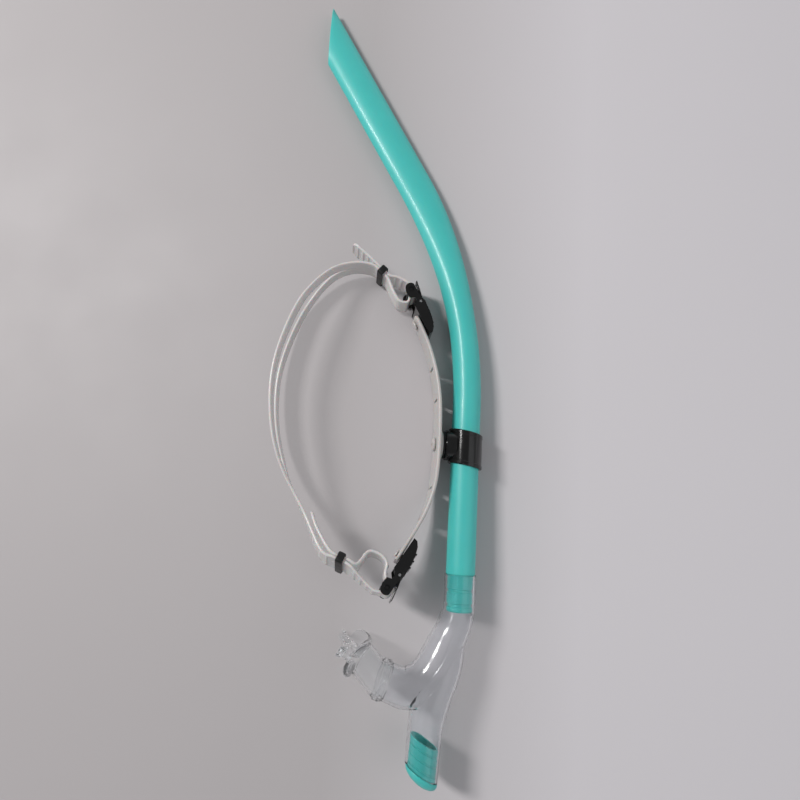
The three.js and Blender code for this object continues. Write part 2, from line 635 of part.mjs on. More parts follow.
/** Points of the strap's middle line round a roller, from an angle on its far side to its near side. */
function rollerWrap(side, from) {
  const radius = ROLLER_R + GAP + STRAP_THICKNESS / 2 + 0.2;
  return [0, 0.25, 0.5, 0.75, 1].map((t) => {
    const angle = mix(from, 205, t) * DEG;
    const [x, y] = [radius * Math.cos(angle), radius * Math.sin(angle)];
    return buckleToLoop(side, ROLLER_PLACE[0] + x, ROLLER_PLACE[1] + y);
  });
}

/** A point beside a keeper: how far along the strap, and which layer (1 outer, -1 inner). */
function keeperPoint([x, y], degrees, distance, layer) {
  const normal = heading(degrees).applyAxisAngle(Z, (y > 0 ? -90 : 90) * DEG);
  const place = new THREE.Vector3(x, y, 0).addScaledVector(heading(degrees), distance);
  return place.addScaledVector(normal, layer * LANE);
}

function strapCurve() {
  const point = (x, y) => new THREE.Vector3(x, y, 0);
  const upper = (distance, layer) => keeperPoint(KEEPER_UPPER, KEEPER_UPPER_HEADING, distance, layer);
  const lower = (distance, layer) => keeperPoint(KEEPER_LOWER, KEEPER_LOWER_HEADING, distance, layer);
  return new THREE.CatmullRomCurve3([
    point(-77.6, 125.2), upper(13, 1.2), upper(6, 1), upper(0, 1), upper(-5, 1), point(-48.2, 104.4),
    ...rollerWrap(1, 50),
    buckleToLoop(1, 10, -0.8), point(-46.2, 88.9), point(-49.9, 93.8),
    upper(-5, -1), upper(0, -1), upper(6, -1), point(-74, 111.9), point(-88, 106.6), point(-103, 88.4), point(-113.6, 62), point(-118.4, 36),
    point(-116.4, 7.5), point(-108, -20), point(-94, -44.5), lower(10, 1.1), lower(4, 1), lower(-4, 1),
    point(-56, -82.4), point(-51, -85.9),
    ...rollerWrap(-1, -15),
    buckleToLoop(-1, 10.2, -0.4), buckleToLoop(-1, 5, -3.2), point(-46.8, -67.9), point(-50.4, -65.8),
    point(-55, -65.6), lower(-9, -1.4), lower(-4, -1), lower(0, -1), lower(6, -1),
    point(-85.2, -55), point(-89.4, -44.6),
  ], false, 'centripetal');
}

const strapAxis = strapCurve();

/** Curve parameter where the strap's middle line is nearest to a point. */
function nearest(target, from, to) {
  const gap = (t) => strapAxis.getPointAt(t).distanceTo(target);
  let best = from;
  for (let t = from; t <= to; t += 0.001) {
    if (gap(t) < gap(best)) best = t;
  }
  return best;
}

function headStrap() {
  const widenFrom = nearest(new THREE.Vector3(-74, 111.9, 0), 0.1, 0.5);
  const widenTo = nearest(new THREE.Vector3(-92, -47, 0), 0.5, 0.95);
  const reach = (widenTo - widenFrom) * 0.3;
  const spread = (t) => smooth(widenFrom, widenFrom + reach, t) * (1 - smooth(widenTo - reach, widenTo, t));
  const outer = (t) => mix(STRAP_HALF_WIDTH, STRAP_BACK_HALF_WIDTH, spread(t));
  const inner = (t) => mix(-0.4, STRAP_SLIT_HALF, Math.min(1, 1.2 * spread(t)));
  const strip = (from, to, steps, span) => band(strapAxis, from, to, steps, STRAP_THICKNESS, span);
  const narrow = () => [-STRAP_HALF_WIDTH, STRAP_HALF_WIDTH];
  const bands = union(
    strip(0, widenFrom + 0.002, 50, narrow),
    strip(widenFrom, widenTo, 44, (t) => [inner(t), outer(t)]),
    strip(widenFrom, widenTo, 44, (t) => [-outer(t), -inner(t)]),
    strip(widenTo - 0.002, 1, 50, narrow),
  );
  return solid(reshape(geometryOf(bands), bendLoop));
}

function keeperMatrix([x, y], degrees) {
  const turn = new THREE.Matrix4().makeRotationZ(degrees * DEG);
  const place = new THREE.Vector3(x, y, 0);
  return bendAt(place).multiply(new THREE.Matrix4().makeTranslation(x, y, 0).multiply(turn));
}

function strapKeeper() {
  const inside = [LANE + STRAP_THICKNESS / 2 + GAP, STRAP_HALF_WIDTH + GAP];
  const outside = inside.map((size) => size + KEEPER_WALL);
  const [depth, height] = outside;
  const length = KEEPER_LENGTH / 2;
  const shell = box([-length, -depth, -height - 0.4], [length, depth, height + 0.4]);
  return cut(shell, box([-length - 1, -inside[0], -inside[1]], [length + 1, inside[0], inside[1]]));
}

// ---------- the assembly ----------

piece('main_tube', mainTube(), 'teal');
piece('lower_chamber', lowerChamber(), 'clear');
piece('mouthpiece', mouthpiece(), 'clear');
piece('mouthpiece_ring', mouthpieceRing(), 'clear');
piece('purge_housing', purgeHousing(), 'teal');
piece('purge_seat', purgeSeat(), 'teal');
piece('purge_valve', purgeValve(), 'clear');
piece('purge_cap', purgeCap(), 'teal');
piece('tube_clip', tubeClip(), 'black');
piece('swivel_washer', swivelWasher(), 'black');
piece('pivot_screw', pivotScrew(), 'milky');
piece('head_bracket', headBracket(), 'milky');
for (const [name, side] of [['upper', 1], ['lower', -1]]) {
  const place = buckleMatrix(side);
  piece(`${name}_buckle_frame`, buckleFrame(), 'black', place);
  piece(`${name}_release_lever`, releaseLever(), 'black', place);
  piece(`${name}_lever_pin`, leverPin(), 'steel', place);
  piece(`${name}_strap_roller`, strapRoller(), 'black', place);
  piece(`${name}_bracket_rivet`, bracketRivet(), 'milky', place);
}
piece('head_strap', headStrap(), 'milky');
piece('upper_strap_keeper', strapKeeper(), 'black', keeperMatrix(KEEPER_UPPER, KEEPER_UPPER_HEADING));
piece('lower_strap_keeper', strapKeeper(), 'black', keeperMatrix(KEEPER_LOWER, KEEPER_LOWER_HEADING));

// Lay the object down as it rests on a level surface, with its origin under the middle of its box.
const surfaceNormal = new THREE.Vector3(-ROLL_SLOPE, -PITCH_SLOPE, 1).normalize();
object.quaternion.setFromUnitVectors(surfaceNormal, Z);
object.updateMatrixWorld(true);
const extent = new THREE.Box3().setFromObject(object, true);
const middle = extent.getCenter(new THREE.Vector3());
object.position.set(-middle.x, -middle.y, -extent.min.z);

export default object;
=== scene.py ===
"""Looks of a centre-mount swim snorkel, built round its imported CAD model.

Pieces are made in the CAD design frame, in millimetres: +Y up the straight lower tube, -X towards the
swimmer's face, z = 0 the middle plane, origin on the tube's axis level with the clip. settle() lays each
piece down into the row frame, in metres.
"""

import math

import bmesh
import bpy
import numpy as np
from mathutils import Matrix, Vector


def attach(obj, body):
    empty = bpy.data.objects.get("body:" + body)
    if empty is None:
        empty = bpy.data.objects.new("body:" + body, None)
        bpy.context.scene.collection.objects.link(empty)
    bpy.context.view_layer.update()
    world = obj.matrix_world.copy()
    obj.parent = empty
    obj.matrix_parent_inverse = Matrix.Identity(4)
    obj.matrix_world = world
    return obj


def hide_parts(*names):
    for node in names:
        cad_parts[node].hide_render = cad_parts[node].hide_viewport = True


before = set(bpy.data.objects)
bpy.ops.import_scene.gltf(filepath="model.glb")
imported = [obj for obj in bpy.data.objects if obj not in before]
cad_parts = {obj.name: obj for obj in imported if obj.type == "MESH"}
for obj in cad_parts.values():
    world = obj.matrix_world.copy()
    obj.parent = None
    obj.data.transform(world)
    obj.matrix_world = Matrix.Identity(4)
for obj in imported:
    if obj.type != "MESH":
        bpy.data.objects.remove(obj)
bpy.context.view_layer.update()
scene = bpy.context.scene

MM = 0.001
DEG = math.pi / 180
Z = Vector((0, 0, 1))
TIP_R = 0.05  # the small ring that closes a turned solid on its axis
ROLL_SLOPE, PITCH_SLOPE = 0.0919, 0.054
ORIGIN = Vector((55.0949, -56.6625, 12.8544))  # the design origin in the row frame
surface_normal = Vector((-ROLL_SLOPE, -PITCH_SLOPE, 1)).normalized()
lay_turn = surface_normal.rotation_difference(Z).to_matrix()
LAY = Matrix.Translation(ORIGIN * MM) @ lay_turn.to_4x4() @ Matrix.Scale(MM, 4)


# ---------- curves ----------

def heading(degrees):
    return np.array([math.cos(degrees * DEG), math.sin(degrees * DEG), 0.0])


def smooth(low, high, at):
    t = np.clip((np.asarray(at, float) - low) / (high - low), 0, 1)
    return t * t * (3 - 2 * t)


def mix(a, b, t):
    return a + (b - a) * t


class Path:
    """Dense line in the plane z = 0, read by distance along it."""

    def __init__(self, points):
        self.points = np.array([p[:2] for p in points], float)
        steps = np.linalg.norm(np.diff(self.points, axis=0), axis=1)
        self.distance = np.concatenate([[0], np.cumsum(steps)])
        self.total = self.distance[-1]

    def at(self, s):
        return np.array([np.interp(s, self.distance, self.points[:, i]) for i in (0, 1)] + [0.0])

    def tangent(self, s, reach=0.4):
        low, high = max(0, s - reach), min(self.total, s + reach)
        step = self.at(high) - self.at(low)
        return step / np.linalg.norm(step)

    def across(self, s):
        t = self.tangent(s)
        return np.array([t[1], -t[0], 0])

    def nearest(self, target, low=0.0, high=None):
        inside = (self.distance >= low) & (self.distance <= (high or self.total))
        gaps = np.linalg.norm(self.points - np.array(target), axis=1)
        return self.distance[np.argmin(np.where(inside, gaps, 1e9))]


def run_path(start, degrees, runs):
    """Line made of runs, each a length and the angle it turns through."""
    points, place, angle = [np.array(start, float)], np.array(start, float), degrees
    for length, turn in runs:
        count = max(2, int(length * 4))
        for _ in range(count):
            place = place + heading(angle + turn / count / 2)[:2] * length / count
            angle += turn / count
            points.append(place)
    return Path(points)


def through(points, count=30):
    """Centripetal Catmull-Rom line through points."""
    p = [np.array(q[:2], float) for q in points]
    p = [2 * p[0] - p[1]] + p + [2 * p[-1] - p[-2]]
    line = []
    for i in range(1, len(p) - 2):
        d0, d1, d2 = (np.linalg.norm(p[i + k] - p[i + k - 1]) ** 0.5 for k in (0, 1, 2))
        t1 = ((p[i] - p[i - 1]) / d0 - (p[i + 1] - p[i - 1]) / (d0 + d1) + (p[i + 1] - p[i]) / d1) * d1
        t2 = ((p[i + 1] - p[i]) / d1 - (p[i + 2] - p[i]) / (d1 + d2) + (p[i + 2] - p[i + 1]) / d2) * d1
        for t in np.linspace(0, 1, count, endpoint=False):
            a = p[i] + t1 * t + (-3 * p[i] + 3 * p[i + 1] - 2 * t1 - t2) * t * t
            line.append(a + (2 * p[i] - 2 * p[i + 1] + t1 + t2) * t ** 3)
    line.append(p[-2])
    return Path(line)


def stops(table):
    """A value that passes smoothly through stops of (t, value)."""
    def value(t):
        for (low, a), (high, b) in zip(table, table[1:]):
            if t <= high:
                return mix(a, b, float(smooth(low, high, t)))
        return table[-1][1]
    return value


# ---------- meshes ----------

def mesh_piece(name, verts, faces):
    mesh = bpy.data.meshes.new(name)
    mesh.from_pydata([tuple(v) for v in verts], [], [tuple(f) for f in faces])
    obj = bpy.data.objects.new(name, mesh)
    scene.collection.objects.link(obj)
    work = bmesh.new()
    work.from_mesh(mesh)
    bmesh.ops.recalc_face_normals(work, faces=work.faces)
    work.to_mesh(mesh)
    work.free()
    return obj


def loft(name, rings, loop=False):
    """Closed surface through rings of points; loop joins the last ring to the first."""
    count, sides = len(rings), len(rings[0])
    faces = []
    for i in range(count if loop else count - 1):
        j = (i + 1) % count
        for k in range(sides):
            n = (k + 1) % sides
            faces.append((i * sides + k, i * sides + n, j * sides + n, j * sides + k))
    if not loop:
        faces.append(range(sides))
        faces.append([(count - 1) * sides + k for k in range(sides)])
    return mesh_piece(name, np.vstack(rings), faces)


def circle(sides):
    a = np.arange(sides) * 2 * math.pi / sides
    return np.cos(a), np.sin(a)


def basis(axis):
    axis = np.array(axis, float) / np.linalg.norm(axis)
    side = np.array([0, 0, 1.0]) if abs(axis[2]) < 0.9 else np.array([1.0, 0, 0])
    first = np.cross(side, axis)
    first /= np.linalg.norm(first)
    return axis, first, np.cross(axis, first)


def lathe(name, profile, origin, axis, sides=48, loop=False, slant=None):
    """Turned solid: profile of (radius, height). With slant, each height is a plane square to slant."""
    axis, first, second = basis(axis)
    c, s = circle(sides)
    rings = []
    for radius, height in profile:
        radial = np.outer(c * radius, first) + np.outer(s * radius, second)
        lift = np.full(sides, float(height))
        if slant is not None:
            lift -= radial @ np.array(slant) / (axis @ np.array(slant))
        rings.append(np.array(origin, float) + radial + np.outer(lift, axis))
    return loft(name, rings, loop)


def cylinder(radius, start, axis, length, sides=48):
    return lathe("tool", [(radius, 0), (radius, length)], start, axis, sides)


def block(low, high):
    low, high = np.array(low, float), np.array(high, float)
    verts = [[(low, high)[i][0], (low, high)[j][1], (low, high)[k][2]]
             for i in (0, 1) for j in (0, 1) for k in (0, 1)]
    faces = [(0, 1, 3, 2), (4, 6, 7, 5), (0, 4, 5, 1), (2, 3, 7, 6), (0, 2, 6, 4), (1, 5, 7, 3)]
    return mesh_piece("tool", verts, faces)


def beyond(point, axis):
    """The half of space on the far side of a plane, as a wide short cylinder."""
    return cylinder(60, point, axis, 60, 16)


def prism(name, outline, depth):
    """Outline in x, y extruded evenly both ways along z."""
    outline = np.array(outline, float)
    rings = [np.column_stack([outline, np.full(len(outline), z)]) for z in (-depth / 2, depth / 2)]
    return loft(name, rings)


def arc(centre, radius, start, end, count):
    a = np.radians(np.linspace(start, end, count))
    return [(centre[0] + radius * math.cos(t), centre[1] + radius * math.sin(t)) for t in a]


def apply(obj):
    graph = bpy.context.evaluated_depsgraph_get()
    mesh = bpy.data.meshes.new_from_object(obj.evaluated_get(graph))
    obj.modifiers.clear()
    obj.data = mesh
    return obj


def boolean(obj, *tools, operation="DIFFERENCE"):
    for tool in tools:
        step = obj.modifiers.new("boolean", "BOOLEAN")
        step.object, step.operation, step.solver = tool, operation, "MANIFOLD"
        apply(obj)
        bpy.data.objects.remove(tool)
    return obj


def fuse(name, parts, voxel, rounds):
    """One soft skin over overlapping solids."""
    work = bmesh.new()
    for part in parts:
        work.from_mesh(part.data)
        bpy.data.objects.remove(part)
    mesh = bpy.data.meshes.new(name)
    work.to_mesh(mesh)
    work.free()
    obj = bpy.data.objects.new(name, mesh)
    scene.collection.objects.link(obj)
    step = obj.modifiers.new("skin", "REMESH")
    step.mode, step.voxel_size, step.adaptivity = "VOXEL", voxel, 0
    if rounds:
        relax = obj.modifiers.new("relax", "SMOOTH")
        relax.factor, relax.iterations = 0.5, rounds
    return apply(obj)


def bevel(obj, width, segments=2, angle=35):
    step = obj.modifiers.new("bevel", "BEVEL")
    step.width, step.segments, step.limit_method = width, segments, "ANGLE"
    step.angle_limit, step.use_clamp_overlap = angle * DEG, True
    return apply(obj)


def reshape(obj, move):
    count = len(obj.data.vertices)
    points = np.empty(count * 3)
    obj.data.vertices.foreach_get("co", points)
    obj.data.vertices.foreach_set("co", move(points.reshape(-1, 3)).ravel())
    return obj


def settle(obj, name, body, material, nodes, matrix=None, sharp=38):
    """Names a finished piece, lays it down in the row frame and hands it to its body."""
    obj.name = obj.data.name = name
    obj.data.transform(LAY @ matrix if matrix else LAY)
    obj.data.polygons.foreach_set("use_smooth", [True] * len(obj.data.polygons))
    obj.data.set_sharp_from_angle(angle=sharp * DEG)
    obj.data.materials.clear()
    obj.data.materials.append(material)
    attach(obj, body)
    if nodes:
        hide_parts(*nodes)
    return obj


# ---------- materials ----------

def material(name, colour, other, rough, grain, fine, bump, clear_shadow=0.0, **sockets):
    """Principled material whose colour, roughness and fine relief vary over the surface.
    clear_shadow is the share of lamp light that each surface lets through; where it is set, the
    light that other things scatter goes straight through as well."""
    made = bpy.data.materials.new(name)
    made.use_nodes = True
    nodes, links = made.node_tree.nodes, made.node_tree.links
    shader = nodes["Principled BSDF"]
    place = nodes.new("ShaderNodeTexCoord")

    def noise(scale, detail):
        node = nodes.new("ShaderNodeTexNoise")
        node.inputs["Scale"].default_value = scale
        node.inputs["Detail"].default_value = detail
        links.new(place.outputs["Object"], node.inputs["Vector"])
        return node

    broad = noise(grain, 3)
    tint = nodes.new("ShaderNodeMix")
    tint.data_type = "RGBA"
    tint.inputs["A"].default_value = (*colour, 1)
    tint.inputs["B"].default_value = (*other, 1)
    links.new(broad.outputs["Fac"], tint.inputs["Factor"])
    links.new(tint.outputs["Result"], shader.inputs["Base Color"])
    smudge = noise(grain * 2.7, 4)
    gloss = nodes.new("ShaderNodeMapRange")
    gloss.inputs["From Min"].default_value = 0.3
    gloss.inputs["From Max"].default_value = 0.7
    gloss.inputs["To Min"].default_value = rough[0]
    gloss.inputs["To Max"].default_value = rough[1]
    links.new(smudge.outputs["Fac"], gloss.inputs["Value"])
    links.new(gloss.outputs["Result"], shader.inputs["Roughness"])
    relief = noise(fine, 2)
    raised = nodes.new("ShaderNodeBump")
    raised.inputs["Strength"].default_value = bump
    raised.inputs["Distance"].default_value = 0.001
    links.new(relief.outputs["Fac"], raised.inputs["Height"])
    links.new(raised.outputs["Normal"], shader.inputs["Normal"])
    for socket, value in sockets.items():
        shader.inputs[socket.replace("_", " ")].default_value = value
    if clear_shadow:
        path = nodes.new("ShaderNodeLightPath")
        share = nodes.new("ShaderNodeMath")
        share.operation = "MULTIPLY_ADD"
        share.inputs[1].default_value = clear_shadow
        links.new(path.outputs["Is Shadow Ray"], share.inputs[0])
        links.new(path.outputs["Is Diffuse Ray"], share.inputs[2])
        through_light = nodes.new("ShaderNodeBsdfTransparent")
        blend = nodes.new("ShaderNodeMixShader")
        links.new(share.outputs[0], blend.inputs["Fac"])
        links.new(shader.outputs["BSDF"], blend.inputs[1])
        links.new(through_light.outputs["BSDF"], blend.inputs[2])
        links.new(blend.outputs["Shader"], nodes["Material Output"].inputs["Surface"])
    return made


TEAL = material("teal_gloss", (0.060, 0.515, 0.480), (0.074, 0.555, 0.520), (0.40, 0.46), 60, 500, 0.01,
                IOR=1.46, Subsurface_Weight=0.12, Subsurface_Scale=0.003, Coat_Weight=0.08,
                Coat_Roughness=0.1)
INSERT = material("teal_insert", (0.050, 0.46, 0.43), (0.064, 0.51, 0.48), (0.30, 0.40), 120, 900, 0.03,
                  IOR=1.46, Subsurface_Weight=0.1, Subsurface_Scale=0.002, Coat_Weight=0.1,
                  Coat_Roughness=0.1)
CLEAR = material("clear_silicone", (0.92, 0.935, 0.955), (0.95, 0.96, 0.975), (0.05, 0.11), 70, 260, 0.03,
                 clear_shadow=0.79, IOR=1.32, Transmission_Weight=1.0, Specular_IOR_Level=0.6)
BITE = material("bite_silicone", (0.93, 0.94, 0.95), (0.96, 0.965, 0.97), (0.05, 0.11), 80, 300, 0.03,
                clear_shadow=0.84, IOR=1.32, Transmission_Weight=0.97, Specular_IOR_Level=0.6)
MILKY = material("milky_silicone", (0.60, 0.59, 0.58), (0.66, 0.65, 0.64), (0.20, 0.28), 110, 700, 0.01,
                 clear_shadow=0.78, IOR=1.42, Subsurface_Weight=0.3, Subsurface_Scale=0.002)
BRACKET = material("milky_bracket", (0.47, 0.45, 0.435), (0.51, 0.49, 0.475), (0.30, 0.42), 110, 800, 0.02,
                   IOR=1.46, Subsurface_Weight=0.2, Subsurface_Scale=0.002)
VALVE = material("valve_silicone", (0.82, 0.83, 0.82), (0.9, 0.9, 0.89), (0.25, 0.35), 200, 900, 0.04,
                 clear_shadow=0.4, IOR=1.41, Transmission_Weight=0.5)
BLACK = material("black_gloss", (0.004, 0.004, 0.004), (0.009, 0.009, 0.009), (0.12, 0.20), 150, 1400,
                 0.015, IOR=1.45)
SOFT_BLACK = material("black_keeper", (0.005, 0.005, 0.005), (0.011, 0.011, 0.011), (0.34, 0.46), 150,
                      1600, 0.04, IOR=1.42)
STEEL = material("steel", (0.50, 0.51, 0.52), (0.62, 0.62, 0.63), (0.22, 0.36), 300, 2500, 0.05,
                 Metallic=1.0)


# ---------- main tube ----------

TUBE_R, TUBE_WALL, SHOULDER_Y = 8.6, 1.5, -74.0
BEND_START_Y, BEND_R, BEND_ANGLE = 26.0, 288.0, 31.0
TOP_DEPTH, TOP_WIDTH, CUT_X = 11.5, 5.9, -105.0
FLATTEN = (145.0, 255.0)
SIDES = 80

tube_path = run_path((0, SHOULDER_Y), 90, [
    (BEND_START_Y - SHOULDER_Y, 0), (BEND_R * BEND_ANGLE * DEG, BEND_ANGLE), (150, 0)])
straight_from = BEND_START_Y - SHOULDER_Y + BEND_R * BEND_ANGLE * DEG + 2
top_heading = heading(90 + BEND_ANGLE)


def tube_ring(s, inset):
    c, w = circle(SIDES)
    flat = float(smooth(*FLATTEN, s))
    depth, width = mix(TUBE_R, TOP_DEPTH, flat) - inset, mix(TUBE_R, TOP_WIDTH, flat) - inset
    return tube_path.at(s) + np.outer(c * depth, tube_path.across(s)) + np.outer(w * width, [0, 0, 1])


def top_ring(share, inset, bulge=0.0):
    """Ring of the straight top run, sheared so that share 1 lies in the plane of the cut."""
    c, w = circle(SIDES)
    across = np.array([top_heading[1], -top_heading[0], 0])
    start = tube_path.at(straight_from)
    ring = start + np.outer(c * (TOP_DEPTH - inset), across) + np.outer(w * (TOP_WIDTH - inset), [0, 0, 1])
    reach = (CUT_X + 0.4 - ring[:, 0]) / top_heading[0]
    return ring + np.outer(reach * share, top_heading) + np.array([-bulge, 0, 0])


def spigot_ring(y, radius):
    c, w = circle(SIDES)
    return np.column_stack([c * radius, np.full(SIDES, float(y)), w * radius])


def main_tube():
    spigot = [(-94.9, 6.6), (-94.6, 7.1), (-94.1, 7.5), (-92.2, 7.5), (-91.7, 6.9), (-90.3, 6.9),
              (-89.8, 7.5), (-84.2, 7.5), (-83.7, 6.9), (-82.3, 6.9), (-81.8, 7.5), (-75.2, 7.5),
              (-74.5, 7.6), (-74.1, 7.9), (-73.95, 8.3), (-73.7, 8.52)]
    rings = [spigot_ring(y, r) for y, r in spigot]
    lengths = np.concatenate([np.arange(0.9, 100, 4.0), np.arange(100, straight_from, 2.0)])
    rings += [tube_ring(s, 0) for s in lengths]
    rings += [top_ring(t, 0) for t in np.linspace(0, 1, 24)]
    rings += [top_ring(1, TUBE_WALL * (1 - math.cos(a)) / 2, 0.4 * math.sin(a))
              for a in np.linspace(0, math.pi, 9)[1:-1]]
    rings += [top_ring(t, TUBE_WALL) for t in np.linspace(1, 0, 16)]
    rings += [tube_ring(s, TUBE_WALL) for s in lengths[::-2]]
    rings += [spigot_ring(y, r) for y, r in [(-72.5, 7.1), (-73.5, 6.7), (-74.5, 6.3), (-94.7, 6.3)]]
    settle(loft("tube", rings, loop=True), "tube_body", "tube", TEAL, ["main_tube"])


# ---------- lower chamber ----------

PURGE_TOP, PURGE_SEAT = np.array([-16.4, -156, 0]), np.array([-17.6, -180.2, 0])
purge_axis = (PURGE_SEAT - PURGE_TOP) / np.linalg.norm(PURGE_SEAT - PURGE_TOP)
purge_angle = math.atan2(purge_axis[1], purge_axis[0]) / DEG
purge_normal = heading(purge_angle - 25)
COLLAR = np.array([-39.4, -134.4, 0])
COLLAR_ANGLE, FLANGE_ANGLE = 162, 150
collar_axis = heading(COLLAR_ANGLE)
SLEEVE_R, SLEEVE_BORE_R, COLLAR_SPIGOT_R = 9.2, 7.8, 8.7
MOUTH_BRANCH_WALL, PURGE_BRANCH_WALL = 1.6, 1.5
FORK_HOLLOW_R, FORK_HOLLOW_STRETCH = 6.1, 1.2
INSERT_R, INSERT_BORE_R, INSERT_LENGTH = 8.1, 6.9, 16.0


def rod(path, size, inset, count, sides=56):
    """Round rod along a path, its radius from size(share of the length)."""
    c, w = circle(sides)
    rings = []
    for t in np.linspace(0, 1, count):
        s = t * path.total
        radius = size(t) - inset
        rings.append(path.at(s) + np.outer(c * radius, path.across(s)) + np.outer(w * radius, [0, 0, 1]))
    return loft("rod", rings)


def lower_chamber():
    purge = through([(-3.4, -108), (-7.8, -127.5), (-13.8, -143), PURGE_TOP, PURGE_SEAT + purge_axis * 8])
    mouth = through([(0, -74.3), (0, -89), (-2, -101), (-7, -113), (-13.6, -127), (-21, -134.8),
                     (-29.5, -137.2), COLLAR, COLLAR + collar_axis * 6])
    purge_size = stops([(0, 8.4), (0.24, 10.0), (0.46, 10.7), (0.72, 9.6), (1, 9.3)])
    mouth_size = stops([(0, SLEEVE_R), (0.17, SLEEVE_R), (0.32, 10), (0.55, 11.5), (0.77, 11.5), (0.92, 10.4),
                        (1, 10.4)])
    outside = rod(mouth, mouth_size, 0, 110, 96)
    inside = rod(mouth, mouth_size, MOUTH_BRANCH_WALL, 110, 96)
    boolean(outside, rod(purge, purge_size, 0, 90, 96), operation="UNION")
    # hollows out the ridge that the two bores leave between them inside the fork
    fork = through([(-31, -138), (-22, -142.4), (-13, -147)])
    hollow = rod(fork, stops([(0, FORK_HOLLOW_R), (1, FORK_HOLLOW_R)]), 0, 24)
    hollow.data.transform(Matrix.Diagonal((1, 1, FORK_HOLLOW_STRETCH, 1)))
    boolean(inside, rod(purge, purge_size, PURGE_BRANCH_WALL, 90, 96), hollow, operation="UNION")
    keep = COLLAR - collar_axis
    spigot = lathe("spigot", [(COLLAR_SPIGOT_R, 0), (COLLAR_SPIGOT_R, 6.5), (COLLAR_SPIGOT_R - 0.5, 7)],
                   keep, collar_axis, 64)
    boolean(outside, beyond(COLLAR, collar_axis), beyond(PURGE_SEAT, purge_normal))
    boolean(outside, spigot, operation="UNION")
    boolean(outside, inside,
            cylinder(SLEEVE_BORE_R, (0, -96, 0), (0, 1, 0), 30, 64),
            cylinder(COLLAR_SPIGOT_R - 1.5, keep - 2 * collar_axis, collar_axis, 12, 64),
            cylinder(INSERT_R + 0.3, PURGE_SEAT - purge_axis * (INSERT_LENGTH + 5), purge_axis, 40, 64))
    settle(outside, "chamber_body", "tube", CLEAR, ["lower_chamber"], sharp=14)


# ---------- mouthpiece ----------

FLANGE = np.array([-55.6, -121.4, 0])
flange_axis = heading(FLANGE_ANGLE)
flange_up = np.array([flange_axis[1], -flange_axis[0], 0])
FLANGE_WIDTH, FLANGE_HEIGHT, FLANGE_WRAP = 49.5, 22.5, 7.5
NECK_HALF_HEIGHT, NECK_HALF_WIDTH, SOCKET_R, SOCKET_LENGTH = 9.4, 12.8, 10.3, 6.3
LUG_INNER_Z, LUG_WIDTH, LUG_LENGTH = 12.5, 10.0, 7.5
FLANGE_SIDES, FLANGE_HALF_THICKNESS, FLANGE_RIM_R, MOUTH_WALL = 96, 0.95, 0.9, 1.9


def flange_points(u, v, w):
    """Points of the flange: u sideways, v up it and w out towards the teeth."""
    u, v, w = (np.asarray(a, float) for a in (u, v, w))
    out = w + FLANGE_WRAP * (u / (FLANGE_WIDTH / 2)) ** 2
    points = FLANGE + np.outer(out, flange_axis) + np.outer(v, flange_up)
    points[:, 2] = u
    return points


def flange_plate():
    """Shield with a rounded outline and rounded rim, made of rings from the middle out and back."""
    c, w = circle(FLANGE_SIDES)
    power = 2 / 3.2
    x = np.sign(c) * np.abs(c) ** power
    y = np.sign(w) * np.abs(w) ** power
    half_width, half_height = FLANGE_WIDTH / 2 - 1, FLANGE_HEIGHT / 2 - 1

    def ring(share, growth, out):
        return flange_points(x * (half_width + growth) * share, y * (half_height + growth) * share,
                             np.full(FLANGE_SIDES, out))

    shares = (0.02, 0.25, 0.5, 0.7, 0.85, 0.93)
    rings = [ring(share, 0, FLANGE_HALF_THICKNESS) for share in shares]
    for t in np.linspace(math.pi / 2, -math.pi / 2, 7):
        growth = 1 - (FLANGE_RIM_R - FLANGE_RIM_R * math.cos(t))
        rings.append(ring(1, growth, FLANGE_RIM_R * math.sin(t)))
    rings += [ring(share, 0, -FLANGE_HALF_THICKNESS) for share in shares[::-1]]
    return loft("flange", rings)


def lug_block(u, v, w):
    """Block in the flange's own coordinates, each given as (low, high), cut fine enough to curve."""
    rings = []
    for t in np.linspace(u[0], u[1], 9):
        rings.append(flange_points([t] * 4, [v[0], v[1], v[1], v[0]], [w[0], w[0], w[1], w[1]]))
    return loft("lug", rings)


